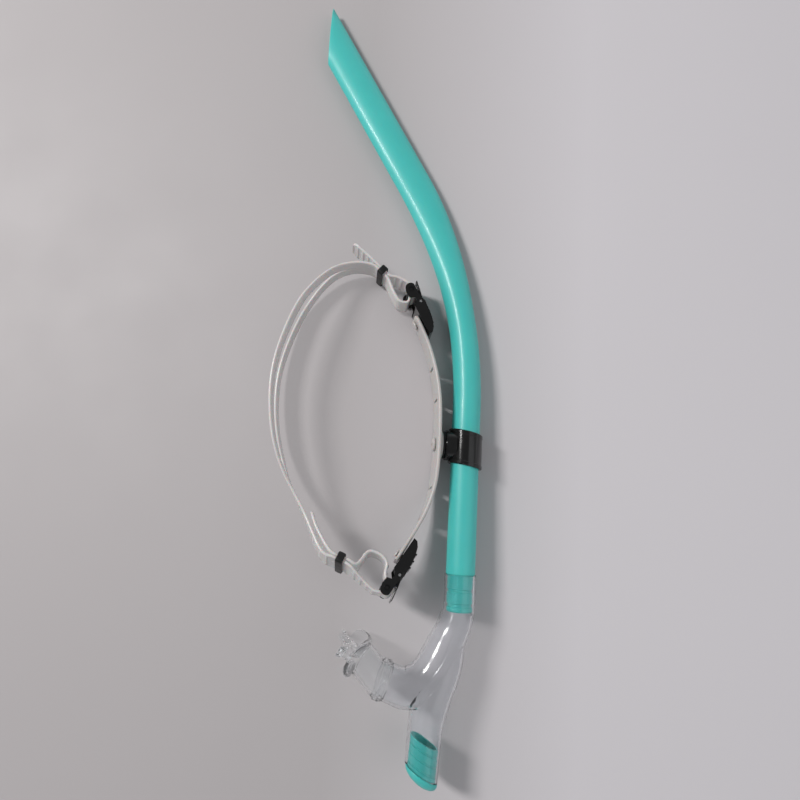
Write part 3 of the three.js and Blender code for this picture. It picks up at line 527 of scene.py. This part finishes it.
def mouthpiece():
    parts = [flange_plate()]
    for side in (-1, 1):
        near, far = side * LUG_INNER_Z, side * (LUG_INNER_Z + LUG_WIDTH)
        parts.append(lug_block((near, far), (-1.2, 1.2), (0, LUG_LENGTH)))
        parts.append(lug_block((near, far), (-3.0, 3.0), (LUG_LENGTH - 0.9, LUG_LENGTH + 0.9)))
        parts.append(lug_block((near, far), (-2.0, 2.0), (2.4, 3.5)))
    socket_start = COLLAR + collar_axis * 0.3
    socket_end = socket_start + collar_axis * (SOCKET_LENGTH - 0.5)
    neck_end = FLANGE + flange_axis * 0.5

    def neck(inset):
        c, w = circle(56)
        rings = []
        for t in np.linspace(0, 1, 16):
            facing = heading(mix(COLLAR_ANGLE, FLANGE_ANGLE, t))
            across = np.array([facing[1], -facing[0], 0])
            depth = mix(SOCKET_R, NECK_HALF_HEIGHT, t) - inset
            width = mix(SOCKET_R, NECK_HALF_WIDTH, t) - inset
            rings.append(mix(socket_end, neck_end, t) + np.outer(c * depth, across)
                         + np.outer(w * width, [0, 0, 1]))
        return loft("neck", rings)

    lip = lathe("lip", [(SOCKET_R, 0), (SOCKET_R + 0.8, 0.3), (SOCKET_R + 0.8, 1.0), (SOCKET_R, 1.3)],
                socket_start, collar_axis, 56)
    parts += [neck(0), cylinder(SOCKET_R, socket_start, collar_axis, SOCKET_LENGTH, 56), lip]
    body = fuse("mouthpiece", parts, 0.5, 4)
    hole = neck(MOUTH_WALL)
    mouth = []
    c, w = circle(56)
    for reach in (-1.0, 10.0):
        mouth.append(FLANGE + flange_axis * reach + np.outer(c * (NECK_HALF_HEIGHT - MOUTH_WALL), flange_up)
                     + np.outer(w * (NECK_HALF_WIDTH - MOUTH_WALL), [0, 0, 1]))
    boolean(body, hole, loft("mouth", mouth),
            cylinder(COLLAR_SPIGOT_R + 0.3, socket_start - collar_axis * 2, collar_axis,
                     SOCKET_LENGTH + 2, 56))
    settle(body, "mouthpiece_body", "tube", BITE, ["mouthpiece"], sharp=50)


def mouthpiece_ring():
    inner, outer = SOCKET_R + 0.32, SOCKET_R + 1.15
    profile = [(inner, 1.5), (inner + 0.3, 1.4), (outer - 0.35, 1.4), (outer, 1.8), (outer, 2.9),
               (outer - 0.3, 3.3), (outer, 3.7), (outer, 5.0), (outer - 0.35, 5.4), (inner + 0.3, 5.4),
               (inner, 5.3)]
    ring = lathe("ring", profile, COLLAR, collar_axis, 72, loop=True)
    settle(ring, "collar_ring", "tube", BITE, ["mouthpiece_ring"])


# ---------- purge insert ----------

SEAT_TOP, SEAT_BOTTOM = -3.4, -1.8
purge_side = np.array([-purge_normal[1], purge_normal[0], 0])


def purge_housing():
    rim = [(INSERT_BORE_R, -INSERT_LENGTH + 0.3), (INSERT_BORE_R + 0.3, -INSERT_LENGTH),
           (INSERT_R - 0.3, -INSERT_LENGTH), (INSERT_R, -INSERT_LENGTH + 0.3)]
    grooves = []
    for groove in (-12.2, -7.4, -2.6):
        grooves += [(INSERT_R, groove - 0.7), (INSERT_R - 0.45, groove - 0.35),
                    (INSERT_R - 0.45, groove + 0.35), (INSERT_R, groove + 0.7)]
    profile = rim + grooves + [(INSERT_R, -0.2), (INSERT_R - 0.2, 0), (INSERT_BORE_R, 0)]
    housing = lathe("housing", profile, PURGE_SEAT, purge_axis, 72, loop=True, slant=purge_normal)
    settle(housing, "purge_sleeve", "tube", INSERT, ["purge_housing"])


def purge_cap():
    profile = [(TIP_R, 3.2), (5.9, 3.2), (6.9, 2.4), (6.9, 0.3), (8.6, 0.3), (9.1, 0.55), (9.2, 1.0),
               (9.15, 1.8), (8.8, 2.8), (8.1, 3.8), (6.9, 4.8), (5.2, 5.6), (3.0, 6.1), (TIP_R, 6.3)]
    cap = lathe("cap", profile, PURGE_SEAT, purge_axis, 72, slant=purge_normal)
    for offset in (-4.2, 0, 4.2):
        centre = PURGE_SEAT + purge_axis * 5.6 + purge_side * offset
        half = 5.5 if offset == 0 else 4.0
        slot = []
        for z in (-half, half):
            corners = [(-1.1, -6), (1.1, -6), (1.1, 6), (-1.1, 6)]
            slot.append(np.array([centre + purge_side * a + purge_normal * b + np.array([0, 0, z])
                                  for a, b in corners]))
        boolean(cap, loft("slot", slot))
    settle(bevel(cap, 0.25, 2, 50), "purge_end_cap", "tube", INSERT, ["purge_cap"])


def purge_seat():
    profile = [(TIP_R, SEAT_TOP), (6.2, SEAT_TOP), (6.6, SEAT_TOP + 0.3), (6.6, SEAT_BOTTOM - 0.2),
               (6.4, SEAT_BOTTOM), (TIP_R, SEAT_BOTTOM)]
    disc = lathe("seat", profile, PURGE_SEAT, purge_axis, 48, slant=purge_normal)
    port_r, port_ring_r, stem_hole_r = 1.8, 3.9, 1.3
    start = PURGE_SEAT + purge_axis * SEAT_BOTTOM - purge_normal * 6
    for angle in (45, 135, 225, 315):
        spot = (start + purge_side * port_ring_r * math.cos(angle * DEG)
                + np.array([0, 0, port_ring_r * math.sin(angle * DEG)]))
        boolean(disc, cylinder(port_r, spot, purge_normal, 12, 24))
    boolean(disc, cylinder(stem_hole_r, start, purge_normal, 12, 24))
    settle(disc, "valve_seat_grid", "tube", INSERT, ["purge_seat"])


def purge_valve():
    face = PURGE_SEAT + purge_axis * SEAT_BOTTOM + purge_normal * 0.3
    flap = [(TIP_R, -4.8), (1.2, -4.8), (1.8, -4.3), (1.9, -3.7), (1.6, -3.2), (0.9, -3.1), (0.9, 0.0),
            (5.4, 0.0), (5.9, 0.15), (5.9, 0.5), (5.0, 0.75), (TIP_R, 0.8)]
    valve = lathe("valve", flap, face, purge_normal, 48)
    settle(valve, "purge_flap_disc", "purge_flap", VALVE, ["purge_valve"])


# ---------- clip and swivel ----------

CLIP_R = TUBE_R + 0.3
CLIP_OUTER_R = CLIP_R + 1.5
CLIP_HEIGHT, SWIVEL_Y = 20.8, 1.5
BRACKET_X, BRACKET_THICKNESS = -17.6, 2.2
WASHER_X = -13.3
HUB_X = WASHER_X - 1.3
HEAD_X = BRACKET_X - BRACKET_THICKNESS / 2 - 0.3
SCREW_X, SWIVEL_HOLE_R = -10.4, 2.4
TO_HEAD = (-1, 0, 0)


def at_swivel(x):
    return np.array([x, SWIVEL_Y, 0.0])


def tube_clip():
    slant = heading(80)
    half, round_off = CLIP_HEIGHT / 2, 0.45
    profile = [(CLIP_R + 0.02, -half + 0.3), (CLIP_R + 0.3, -half), (CLIP_OUTER_R - round_off, -half),
               (CLIP_OUTER_R, -half + round_off), (CLIP_OUTER_R, -half + 2.2),
               (CLIP_OUTER_R - 0.25, -half + 2.5), (CLIP_OUTER_R - 0.25, half - 2.5),
               (CLIP_OUTER_R, half - 2.2), (CLIP_OUTER_R, half - round_off),
               (CLIP_OUTER_R - round_off, half), (CLIP_R + 0.3, half), (CLIP_R + 0.02, half - 0.3)]
    rings = []
    c, w = circle(96)
    for radius, height in profile:
        lift = -c * radius * slant[0] / slant[1] - 0.4
        rings.append(np.column_stack([c * radius, height + lift, w * radius]))
    ring = loft("clip", rings, loop=True)
    boss = lathe("boss", [(8.6, 0), (9.2, 0.4), (9.2, 6.4), (8.8, 7.0), (7.2, 7.0), (7.0, 6.7), (3.2, 6.7),
                          (TIP_R, 6.7)], at_swivel(-6), TO_HEAD, 64)
    boolean(ring, boss, operation="UNION")
    boolean(ring, cylinder(CLIP_R, (0, -26, 0), (0, 1, 0), 52, 96),
            cylinder(SWIVEL_HOLE_R, at_swivel(-10.1), TO_HEAD, 6, 32))
    settle(ring, "clip_collar", "clip", BLACK, ["tube_clip"])


def swivel_washer():
    profile = [(SWIVEL_HOLE_R, 0.15), (2.6, 0), (8.1, 0), (8.4, 0.25), (8.4, 0.75), (8.1, 1), (2.6, 1),
               (SWIVEL_HOLE_R, 0.85)]
    washer = lathe("washer", profile, at_swivel(WASHER_X), TO_HEAD, 56, loop=True)
    settle(washer, "friction_washer", "clip", SOFT_BLACK, ["swivel_washer"])


def pivot_screw():
    length = SCREW_X - HEAD_X
    head = [(TIP_R, -0.3), (2.0, -0.3), (2.1, 0), (2.1, length), (4.2, length), (4.2, length + 0.9),
            (3.7, length + 1.4), (2.6, length + 1.7), (TIP_R, length + 1.8)]
    screw = lathe("screw", head, at_swivel(SCREW_X), TO_HEAD, 40)
    boolean(screw, block((HEAD_X - 3, SWIVEL_Y - 2.9, -0.45), (HEAD_X - 1.1, SWIVEL_Y + 2.9, 0.45)),
            block((HEAD_X - 3, SWIVEL_Y - 0.45, -2.9), (HEAD_X - 1.1, SWIVEL_Y + 0.45, 2.9)))
    settle(screw, "swivel_screw", "clip", BRACKET, ["pivot_screw"])


# ---------- the loop's bend ----------

BEND_Y, BEND_END_Y = -12.0, -60.0


def bend_radius(x):
    return mix(210.0, 125.0, smooth(50, 66, -np.asarray(x, float)))


def bend_loop(points):
    """Bends the loop's lower half up, round an axis along X."""
    points = np.array(points, float)
    x, y, z = points.T
    radius = bend_radius(x)
    angle = (BEND_Y - np.clip(y, BEND_END_Y, BEND_Y)) / radius
    straight = np.maximum(0, BEND_END_Y - y)
    new_y = BEND_Y - (radius - z) * np.sin(angle) - straight * np.cos(angle)
    new_z = radius - (radius - z) * np.cos(angle) + straight * np.sin(angle)
    low = y < BEND_Y
    return np.column_stack([x, np.where(low, new_y, y), np.where(low, new_z, z)])


def bend_at(point):
    """The rigid move that the bend gives to a piece fixed at one point of the loop."""
    angle = (BEND_Y - min(max(point[1], BEND_END_Y), BEND_Y)) / float(bend_radius(point[0]))
    moved = bend_loop([[point[0], point[1], 0.0]])[0]
    back = Matrix.Translation((-point[0], -point[1], 0))
    return Matrix.Translation(Vector(moved)) @ Matrix.Rotation(-angle, 4, "X") @ back


# ---------- head bracket ----------

upper_arm = run_path((BRACKET_X, SWIVEL_Y), 90, [(20, 2.5), (62, 28)])
lower_arm = run_path((BRACKET_X, SWIVEL_Y), -90, [(18, -4), (30, -22), (27, -7)])
HUB_WIDTH, END_WIDTH = 27.0, 18.5
VENT_PLACES, VENT_LENGTH, VENT_R, RIVET_HOLE_R = (27, 47), 13.0, 0.8, 1.9


def strip_ring(centre, normal, low, high, half, round_off, raised=0.0, edge=0.0):
    """Rounded section of a flat strip: normal across its thickness, low to high along z.
    raised lifts the middle of the face on the normal's side; edge thickens the two edges."""
    width = high - low
    shares = [0.0, 0.035, 0.075, 0.3, 0.5, 0.7, 0.925, 0.965, 1.0]
    lifts = [edge, edge, raised, raised, raised, raised, raised, edge, edge]
    flat = width - 2 * round_off
    points = [(low + round_off + flat * t, half + lift) for t, lift in zip(shares, lifts)]
    for a in (60, 30, 0, -30, -60):
        points.append((high - round_off + round_off * math.cos(a * DEG),
                       (half + edge * (a > 0)) * math.sin(a * DEG)))
    points += [(high - round_off - flat * t, -half) for t in (0.0, 0.25, 0.5, 0.75, 1.0)]
    for a in (-60, -30, 0, 30, 60):
        points.append((low + round_off - round_off * math.cos(a * DEG),
                       (half + edge * (a > 0)) * math.sin(a * DEG)))
    return np.array([centre + normal * n + np.array([0, 0, z]) for z, n in points])


def head_bracket():
    lengths = np.linspace(0, 1, 64)
    rings = []
    for arm, order, sign in ((upper_arm, lengths[::-1], 1), (lower_arm, lengths[1:], -1)):
        for t in order:
            s = t * arm.total
            tip = min(1.0, (arm.total - s) / 2.5)
            half = mix(HUB_WIDTH, END_WIDTH, float(smooth(0.15, 0.9, t))) / 2 * math.sqrt(0.55 + 0.45 * tip)
            rings.append(strip_ring(arm.at(s), sign * arm.across(s), -half, half,
                                    BRACKET_THICKNESS / 2 - 0.12, 0.9, -0.12, 0.12))
    bracket = loft("bracket", rings)
    pad = lathe("pad", [(8.1, 0), (8.4, 0.3), (8.4, 3.0)], at_swivel(HUB_X), TO_HEAD, 56)
    boolean(bracket, pad, operation="UNION")
    tools = [cylinder(SWIVEL_HOLE_R, at_swivel(HUB_X + 2), TO_HEAD, 10, 32)]
    vent_end = VENT_LENGTH / 2 - VENT_R
    vent = arc((vent_end, 0), VENT_R, -90, 90, 8) + arc((-vent_end, 0), VENT_R, 90, 270, 8)
    for arm in (upper_arm, lower_arm):
        for s in VENT_PLACES:
            place, along, across = arm.at(s), arm.tangent(s), arm.across(s)
            outline = np.array([place + along * b + np.array([0, 0, a]) for a, b in vent])
            tools.append(loft("vent", [outline + across * reach for reach in (-4, 4)]))
        s = arm.total
        rivet = arm.at(s) - arm.tangent(s) * 4 - arm.across(s) * 6
        tools.append(cylinder(RIVET_HOLE_R, rivet, arm.across(s), 12, 24))
    boolean(bracket, *tools)
    reshape(bracket, bend_loop)
    settle(bracket, "head_bracket_band", "bracket", BRACKET, ["head_bracket"])


# ---------- buckles ----------

INNER_WIDTH, SIDE_PLATE = 19.2, 1.3
HALF_WIDTH = INNER_WIDTH / 2
PIN_REACH = HALF_WIDTH + SIDE_PLATE
ROLLER, ROLLER_R, LEVER_PIVOT = (15.8, 4.6), 2.0, (6.3, 6.4)


def buckle_flat(side):
    """Matrix from a buckle's own frame to the flat loop."""
    arm = upper_arm if side > 0 else lower_arm
    end, ahead = arm.at(arm.total), arm.tangent(arm.total)
    outward = np.array([side * ahead[1], -side * ahead[0], 0])
    turn = Matrix([[ahead[0], outward[0], 0], [ahead[1], outward[1], 0], [0, 0, -side]]).to_4x4()
    return Matrix.Translation(Vector(end)) @ turn


def buckle_matrix(side):
    arm = upper_arm if side > 0 else lower_arm
    return bend_at(arm.at(arm.total)) @ buckle_flat(side)


def cross_rod(radius, place, length, sides=32):
    return cylinder(radius, (place[0], place[1], -length / 2), (0, 0, 1), length, sides)


def buckle_frame(name, place):
    cheek = [(-15, 1.5), (5, 1.5), (7.8, 4), (10.3, 4.4), (11.4, 1.2), (15.2, 0.9)]
    cheek += arc((ROLLER[0] + 0.7, ROLLER[1]), 3.4, -60, 60, 11)
    cheek += [(12, 7.6), (8.6, 8), (5.5, 8.9), (-1.6, 8.4), (-7.2, 7.6), (-12, 5.9), (-14.6, 3.8)]
    shell = [(-15, 1.5), (-14.6, 3.8), (-12, 5.9), (-7.2, 7.6), (-1.6, 8.4), (3.4, 8.7), (3.4, 7.2),
             (-1.4, 6.9), (-6.8, 6.1), (-11.2, 4.6), (-13.6, 3.2), (4, 3.2), (4, 1.5)]
    body = prism("frame", shell, INNER_WIDTH + 1)
    for sign in (-1, 1):
        plate = prism("cheek", cheek, SIDE_PLATE)
        plate.data.transform(Matrix.Translation((0, 0, sign * (HALF_WIDTH + SIDE_PLATE / 2))))
        boolean(body, plate, operation="UNION")
    for x, y in ((-4.6, 8.3), (-8.6, 7.5), (-0.6, 8.8)):
        rib = cross_rod(0.55, (x, y), INNER_WIDTH - 3, 16)
        boolean(body, rib, operation="UNION")
    boolean(body, cross_rod(1.5, ROLLER, 40), cross_rod(1.1, LEVER_PIVOT, 40),
            cylinder(RIVET_HOLE_R, (-4, -5, 0), (0, 1, 0), 9, 24))
    bevel(body, 0.22, 2, 40)
    settle(body, name + "_buckle_body", "bracket", BLACK, [name + "_buckle_frame"], place)


def release_lever(name, place):
    blade = arc(LEVER_PIVOT, 1.9, 75, 300, 18)
    blade += [(9, 6.2), (9.5, 4.9), (10.6, 4.9), (11.2, 8.5), (19.5, 9.9), (19.7, 10.8), (12, 9.5)]
    lever = prism("lever", blade, INNER_WIDTH - 0.6)
    boolean(lever, cross_rod(1.3, LEVER_PIVOT, 40))
    bevel(lever, 0.22, 2, 40)
    settle(lever, name + "_lever_blade", name + "_lever", BLACK,
           [name + "_release_lever"], place)


def lever_pin(name, place):
    end = PIN_REACH
    profile = [(TIP_R, -end), (0.7, -end), (1.0, -end + 0.3), (1.0, end - 0.3), (0.7, end), (TIP_R, end)]
    pin = lathe("pin", profile, (*LEVER_PIVOT, 0), (0, 0, 1), 24)
    settle(pin, name + "_lever_axle", "bracket", STEEL, [name + "_lever_pin"], place)


def strap_roller(name, place):
    half, end = HALF_WIDTH, PIN_REACH
    barrel = [(TIP_R, -end), (1.0, -end), (1.2, -end + 0.2), (1.2, -half + 0.3), (1.8, -half + 0.3),
              (ROLLER_R, -half + 0.6)]
    for z in np.arange(-7.5, 7.6, 1.5):
        barrel += [(ROLLER_R, z - 0.35), (1.78, z - 0.15), (1.78, z + 0.15), (ROLLER_R, z + 0.35)]
    barrel += [(ROLLER_R, half - 0.6), (1.8, half - 0.3), (1.2, half - 0.3), (1.2, end - 0.2), (1.0, end),
               (TIP_R, end)]
    roller = lathe("roller", barrel, (*ROLLER, 0), (0, 0, 1), 32)
    settle(roller, name + "_roller_barrel", name + "_roller", BLACK,
           [name + "_strap_roller"], place)


def bracket_rivet(name, place):
    profile = [(TIP_R, -2.7), (1.8, -2.7), (2.7, -2.4), (2.9, -1.9), (1.6, -1.8), (1.6, 3.5), (2.9, 3.6),
               (2.6, 4.2), (1.6, 4.5), (TIP_R, 4.55)]
    stud = lathe("rivet", profile, (-4, 0, 0), (0, 1, 0), 32)
    settle(stud, name + "_rivet_stud", "bracket", BRACKET,
           [name + "_bracket_rivet"], place)


# ---------- head strap and keepers ----------

LANE = 1.0  # from the middle between the two layers to the middle of either
STRAP_HALF_WIDTH, STRAP_HALF_DEPTH, STRAP_FACE = 9.0, 0.8, 0.72
BAND_INNER, BAND_OUTER, BAND_OVERLAP = 6.0, 18.0, 0.4
KEEPERS = {1: ((-58.1, 107.7), 140), -1: ((-70.5, -72.0), 158)}


def beside_keeper(side, distance, layer):
    """Point beside a keeper: how far along the strap, and which layer (1 outer, -1 inner)."""
    (x, y), degrees = KEEPERS[side]
    normal = heading(degrees - 90 * side)
    return np.array([x, y, 0]) + heading(degrees) * distance + normal * layer * LANE


def in_buckle(side, x, y):
    return np.array(buckle_flat(side) @ Vector((x, y, 0)))


def wrap(side, start):
    radius = ROLLER_R + 0.3 + STRAP_HALF_DEPTH + 0.2
    angles = [mix(start, 205, t) * DEG for t in (0, 0.25, 0.5, 0.75, 1)]
    return [in_buckle(side, ROLLER[0] + radius * math.cos(a), ROLLER[1] + radius * math.sin(a))
            for a in angles]


def up(distance, layer):
    return beside_keeper(1, distance, layer)


def down(distance, layer):
    return beside_keeper(-1, distance, layer)


strap_path = through([
    (-77.6, 125.2), up(13, 1.2), up(6, 1), up(0, 1), up(-5, 1), (-48.2, 104.4), *wrap(1, 50),
    in_buckle(1, 10, -0.8), (-46.2, 88.9), (-49.9, 93.8), up(-5, -1), up(0, -1), up(6, -1),
    (-74, 111.9), (-88, 106.6), (-103, 88.4), (-113.6, 62), (-118.4, 36), (-116.4, 7.5), (-108, -20),
    (-94, -44.5), down(10, 1.1), down(4, 1), down(-4, 1), (-56, -82.4), (-51, -85.9), *wrap(-1, -15),
    in_buckle(-1, 10.2, -0.4), in_buckle(-1, 5, -3.2), (-46.8, -67.9), (-50.4, -65.8), (-55, -65.6),
    down(-9, -1.4), down(-4, -1), down(0, -1), down(6, -1), (-85.2, -55), (-89.4, -44.6)])

RIB_PITCH, RIB_WIDTH, RIB_HEIGHT, PLAIN_NEAR_KEEPER = 4.4, 1.5, 0.45, 7.5


def near_keeper(point):
    return any(np.linalg.norm(point[:2] - np.array(k[0])) < PLAIN_NEAR_KEEPER for k in KEEPERS.values())


def head_strap():
    total = strap_path.total
    split_from = strap_path.nearest((-74, 111.9), 0.1 * total, 0.5 * total)
    split_to = strap_path.nearest((-92, -47), 0.5 * total, 0.95 * total)
    reach = (split_to - split_from) * 0.3
    ribbed = (split_from + 8, split_to - 8)

    def spread(s):
        opening = smooth(split_from, split_from + reach, s)
        return float(opening * (1 - smooth(split_to - reach, split_to, s)))

    def ring(s, low, high):
        centre, normal = strap_path.at(s), strap_path.across(s)
        raised = 0.0
        if (s < ribbed[0] or s > ribbed[1]) and not near_keeper(centre):
            phase = (s + RIB_PITCH / 2) % RIB_PITCH - RIB_PITCH / 2
            raised = RIB_HEIGHT * float(1 - smooth(RIB_WIDTH / 2 - 0.25, RIB_WIDTH / 2 + 0.25, abs(phase)))
        return strip_ring(centre, normal, low, high, STRAP_FACE, 0.55, raised, 0.08)

    def end_narrowing(s):
        tip = min(s, total - s) / 5
        if tip >= 1:
            return STRAP_HALF_WIDTH
        return STRAP_HALF_WIDTH * (math.sqrt(max(0.0, 1 - (1 - tip) ** 2)) * 0.45 + 0.55)

    def narrow(low, high):
        count = int((high - low) / 0.42)
        return loft("narrow", [ring(s, -end_narrowing(s), end_narrowing(s))
                               for s in np.linspace(low, high, count)])

    def band(sign):
        rings = []
        for s in np.linspace(split_from, split_to, 260):
            opened = spread(s)
            inner = mix(-BAND_OVERLAP, BAND_INNER, min(1, 1.2 * opened))
            outer = mix(STRAP_HALF_WIDTH, BAND_OUTER, opened)
            low, high = (inner, outer) if sign > 0 else (-outer, -inner)
            rings.append(ring(s, low, high))
        return loft("band", rings)

    strap = narrow(0, split_from + 1)
    boolean(strap, band(1), band(-1), narrow(split_to - 1, total), operation="UNION")
    reshape(strap, bend_loop)
    settle(strap, "head_strap_band", "bracket", MILKY, ["head_strap"], sharp=60)


def rounded_rectangle(half_x, half_y, radius, count=6):
    points = []
    for cx, cy, start in ((1, 1, 0), (-1, 1, 90), (-1, -1, 180), (1, -1, 270)):
        centre = (cx * (half_x - radius), cy * (half_y - radius))
        points += arc(centre, radius, start, start + 90, count)
    return np.array(points)


def keeper(name, side):
    """Loop round both strap layers, swept round a rounded rectangle."""
    inside = (LANE + STRAP_HALF_DEPTH + 0.3, STRAP_HALF_WIDTH + 0.3)
    section = [(-2.1, 0.25), (-1.8, 0.02), (1.8, 0.02), (2.1, 0.25), (2.1, 0.7), (1.8, 1.0), (0.5, 1.06),
               (-0.5, 1.06), (-1.8, 1.0), (-2.1, 0.7)]
    rings = []
    for x, out in section:
        outline = rounded_rectangle(inside[0] + out, inside[1] + out * 1.35, 0.55 + out)
        rings.append(np.column_stack([np.full(len(outline), x), outline[:, 0], outline[:, 1]]))
    loop = loft("keeper", rings, loop=True)
    (x, y), degrees = KEEPERS[side]
    place = bend_at((x, y)) @ Matrix.Translation((x, y, 0)) @ Matrix.Rotation(degrees * DEG, 4, "Z")
    settle(loop, name + "_keeper_loop", name + "_keeper", SOFT_BLACK,
           [name + "_strap_keeper"], place)


main_tube()
lower_chamber()
mouthpiece()
mouthpiece_ring()
purge_housing()
purge_cap()
purge_seat()
purge_valve()
tube_clip()
swivel_washer()
pivot_screw()
head_bracket()
for side_name, side_sign in (("upper", 1), ("lower", -1)):
    for make in (buckle_frame, release_lever, lever_pin, strap_roller, bracket_rivet):
        make(side_name, buckle_matrix(side_sign))
    keeper(side_name, side_sign)
head_strap()


# ---------- floor, lights and camera ----------

def floor():
    size, drop = 3.0, 0.0003  # the sheet lies a hair below the object
    sheet = mesh_piece("floor", [(-size, -size, 0), (size, -size, 0), (size, size, 0), (-size, size, 0)],
                       [(0, 1, 2, 3)])
    sheet.data.transform(Matrix.Translation((0, 0, -drop)))
    paper = material("floor_paper", (0.45, 0.425, 0.43), (0.47, 0.445, 0.45), (0.55, 0.65), 6, 300, 0.02)
    nodes, links = paper.node_tree.nodes, paper.node_tree.links
    base = nodes["Principled BSDF"].inputs["Base Color"]
    # Painted light: the floor's colour grows paler towards +X, standing in for the brighter light on the
    # right-hand side of the table.
    place, split = nodes.new("ShaderNodeTexCoord"), nodes.new("ShaderNodeSeparateXYZ")
    along, floor_painted_light = nodes.new("ShaderNodeMapRange"), nodes.new("ShaderNodeMix")
    along.inputs["From Min"].default_value, along.inputs["From Max"].default_value = -0.02, 0.13
    floor_painted_light.data_type = "RGBA"
    floor_painted_light.inputs["B"].default_value = (0.66, 0.635, 0.66, 1)
    links.new(place.outputs["Object"], split.inputs[0])
    links.new(split.outputs["X"], along.inputs["Value"])
    links.new(along.outputs["Result"], floor_painted_light.inputs["Factor"])
    links.new(base.links[0].from_socket, floor_painted_light.inputs["A"])
    links.new(floor_painted_light.outputs["Result"], base)
    sheet.data.materials.append(paper)


def area_light(name, place, target, size, power, colour=(1, 1, 1)):
    lamp = bpy.data.lights.new(name, "AREA")
    lamp.shape, lamp.size, lamp.size_y = "RECTANGLE", size[0], size[1]
    lamp.energy, lamp.color = power, colour
    obj = bpy.data.objects.new(name, lamp)
    scene.collection.objects.link(obj)
    obj.location = place
    obj.rotation_euler = (Vector(target) - Vector(place)).to_track_quat("-Z", "Y").to_euler()


floor()
area_light("key", (-1.15, 0.50, 1.42), (0, 0, 0), (0.26, 0.45), 24.0, (1.0, 0.985, 0.975))
area_light("fill", (0.95, -0.25, 1.15), (0, 0, 0), (1.1, 1.1), 3.2, (0.97, 0.98, 1.0))
world = bpy.data.worlds.new("studio")
world.use_nodes = True
sky = world.node_tree.nodes["Background"]
sky.inputs["Color"].default_value = (0.93, 0.94, 0.96, 1)
nodes, links = world.node_tree.nodes, world.node_tree.links
direction, height = nodes.new("ShaderNodeTexCoord"), nodes.new("ShaderNodeSeparateXYZ")
glow = nodes.new("ShaderNodeMapRange")  # paler walls round the table, a dimmer ceiling
glow.interpolation_type = "SMOOTHSTEP"
glow.inputs["From Min"].default_value, glow.inputs["From Max"].default_value = 0.0, 0.6
glow.inputs["To Min"].default_value, glow.inputs["To Max"].default_value = 0.95, 0.26
links.new(direction.outputs["Generated"], height.inputs[0])
links.new(height.outputs["Z"], glow.inputs["Value"])
links.new(glow.outputs["Result"], sky.inputs["Strength"])
scene.world = world
scene.view_settings.view_transform = "Standard"

# The camera looks down at the object from almost straight above, a little from its lower end.
# LENS_SHARE is the focal length over the width of the sensor.
CAMERA_HEIGHT, CAMERA_TILT, LENS_SHARE, SENSOR_WIDTH = 371.0, math.atan(4 / 29), 0.725, 36.0
OBJECT_PLACE = Vector((40.2, 18.8, 14.65))  # the tube's middle at the clip, in the camera's level frame
SLOPE_X, SLOPE_Y, OBJECT_TURN = 0.0765, 0.051, 3.4
norm = math.sqrt(1 + SLOPE_X ** 2 + SLOPE_Y ** 2)
tilt_x = math.asin(-SLOPE_Y / norm)
tilt_y = math.asin(SLOPE_X / norm / math.cos(tilt_x))
object_turn = (Matrix.Rotation(tilt_x, 3, "X") @ Matrix.Rotation(tilt_y, 3, "Y")
               @ Matrix.Rotation(-OBJECT_TURN * DEG, 3, "Z"))
offset = Matrix.Rotation(tilt_x, 3, "X") @ Matrix.Rotation(tilt_y, 3, "Y") @ Vector((-0.3, 0, 0))
from_level = lay_turn @ object_turn.transposed()
eye = from_level @ (Vector((0, 0, CAMERA_HEIGHT)) - OBJECT_PLACE - offset) + ORIGIN
right = from_level @ Vector((1, 0, 0))
view_up = from_level @ Vector((0, math.cos(CAMERA_TILT), math.sin(CAMERA_TILT)))
back = from_level @ Vector((0, -math.sin(CAMERA_TILT), math.cos(CAMERA_TILT)))
camera_data = bpy.data.cameras.new("camera")
camera_data.sensor_width = SENSOR_WIDTH
camera_data.lens = SENSOR_WIDTH * LENS_SHARE
camera = bpy.data.objects.new("camera", camera_data)
scene.collection.objects.link(camera)
turn = Matrix((right, view_up, back)).transposed().to_4x4()
camera.matrix_world = Matrix.Translation(eye * MM) @ turn
scene.camera = camera
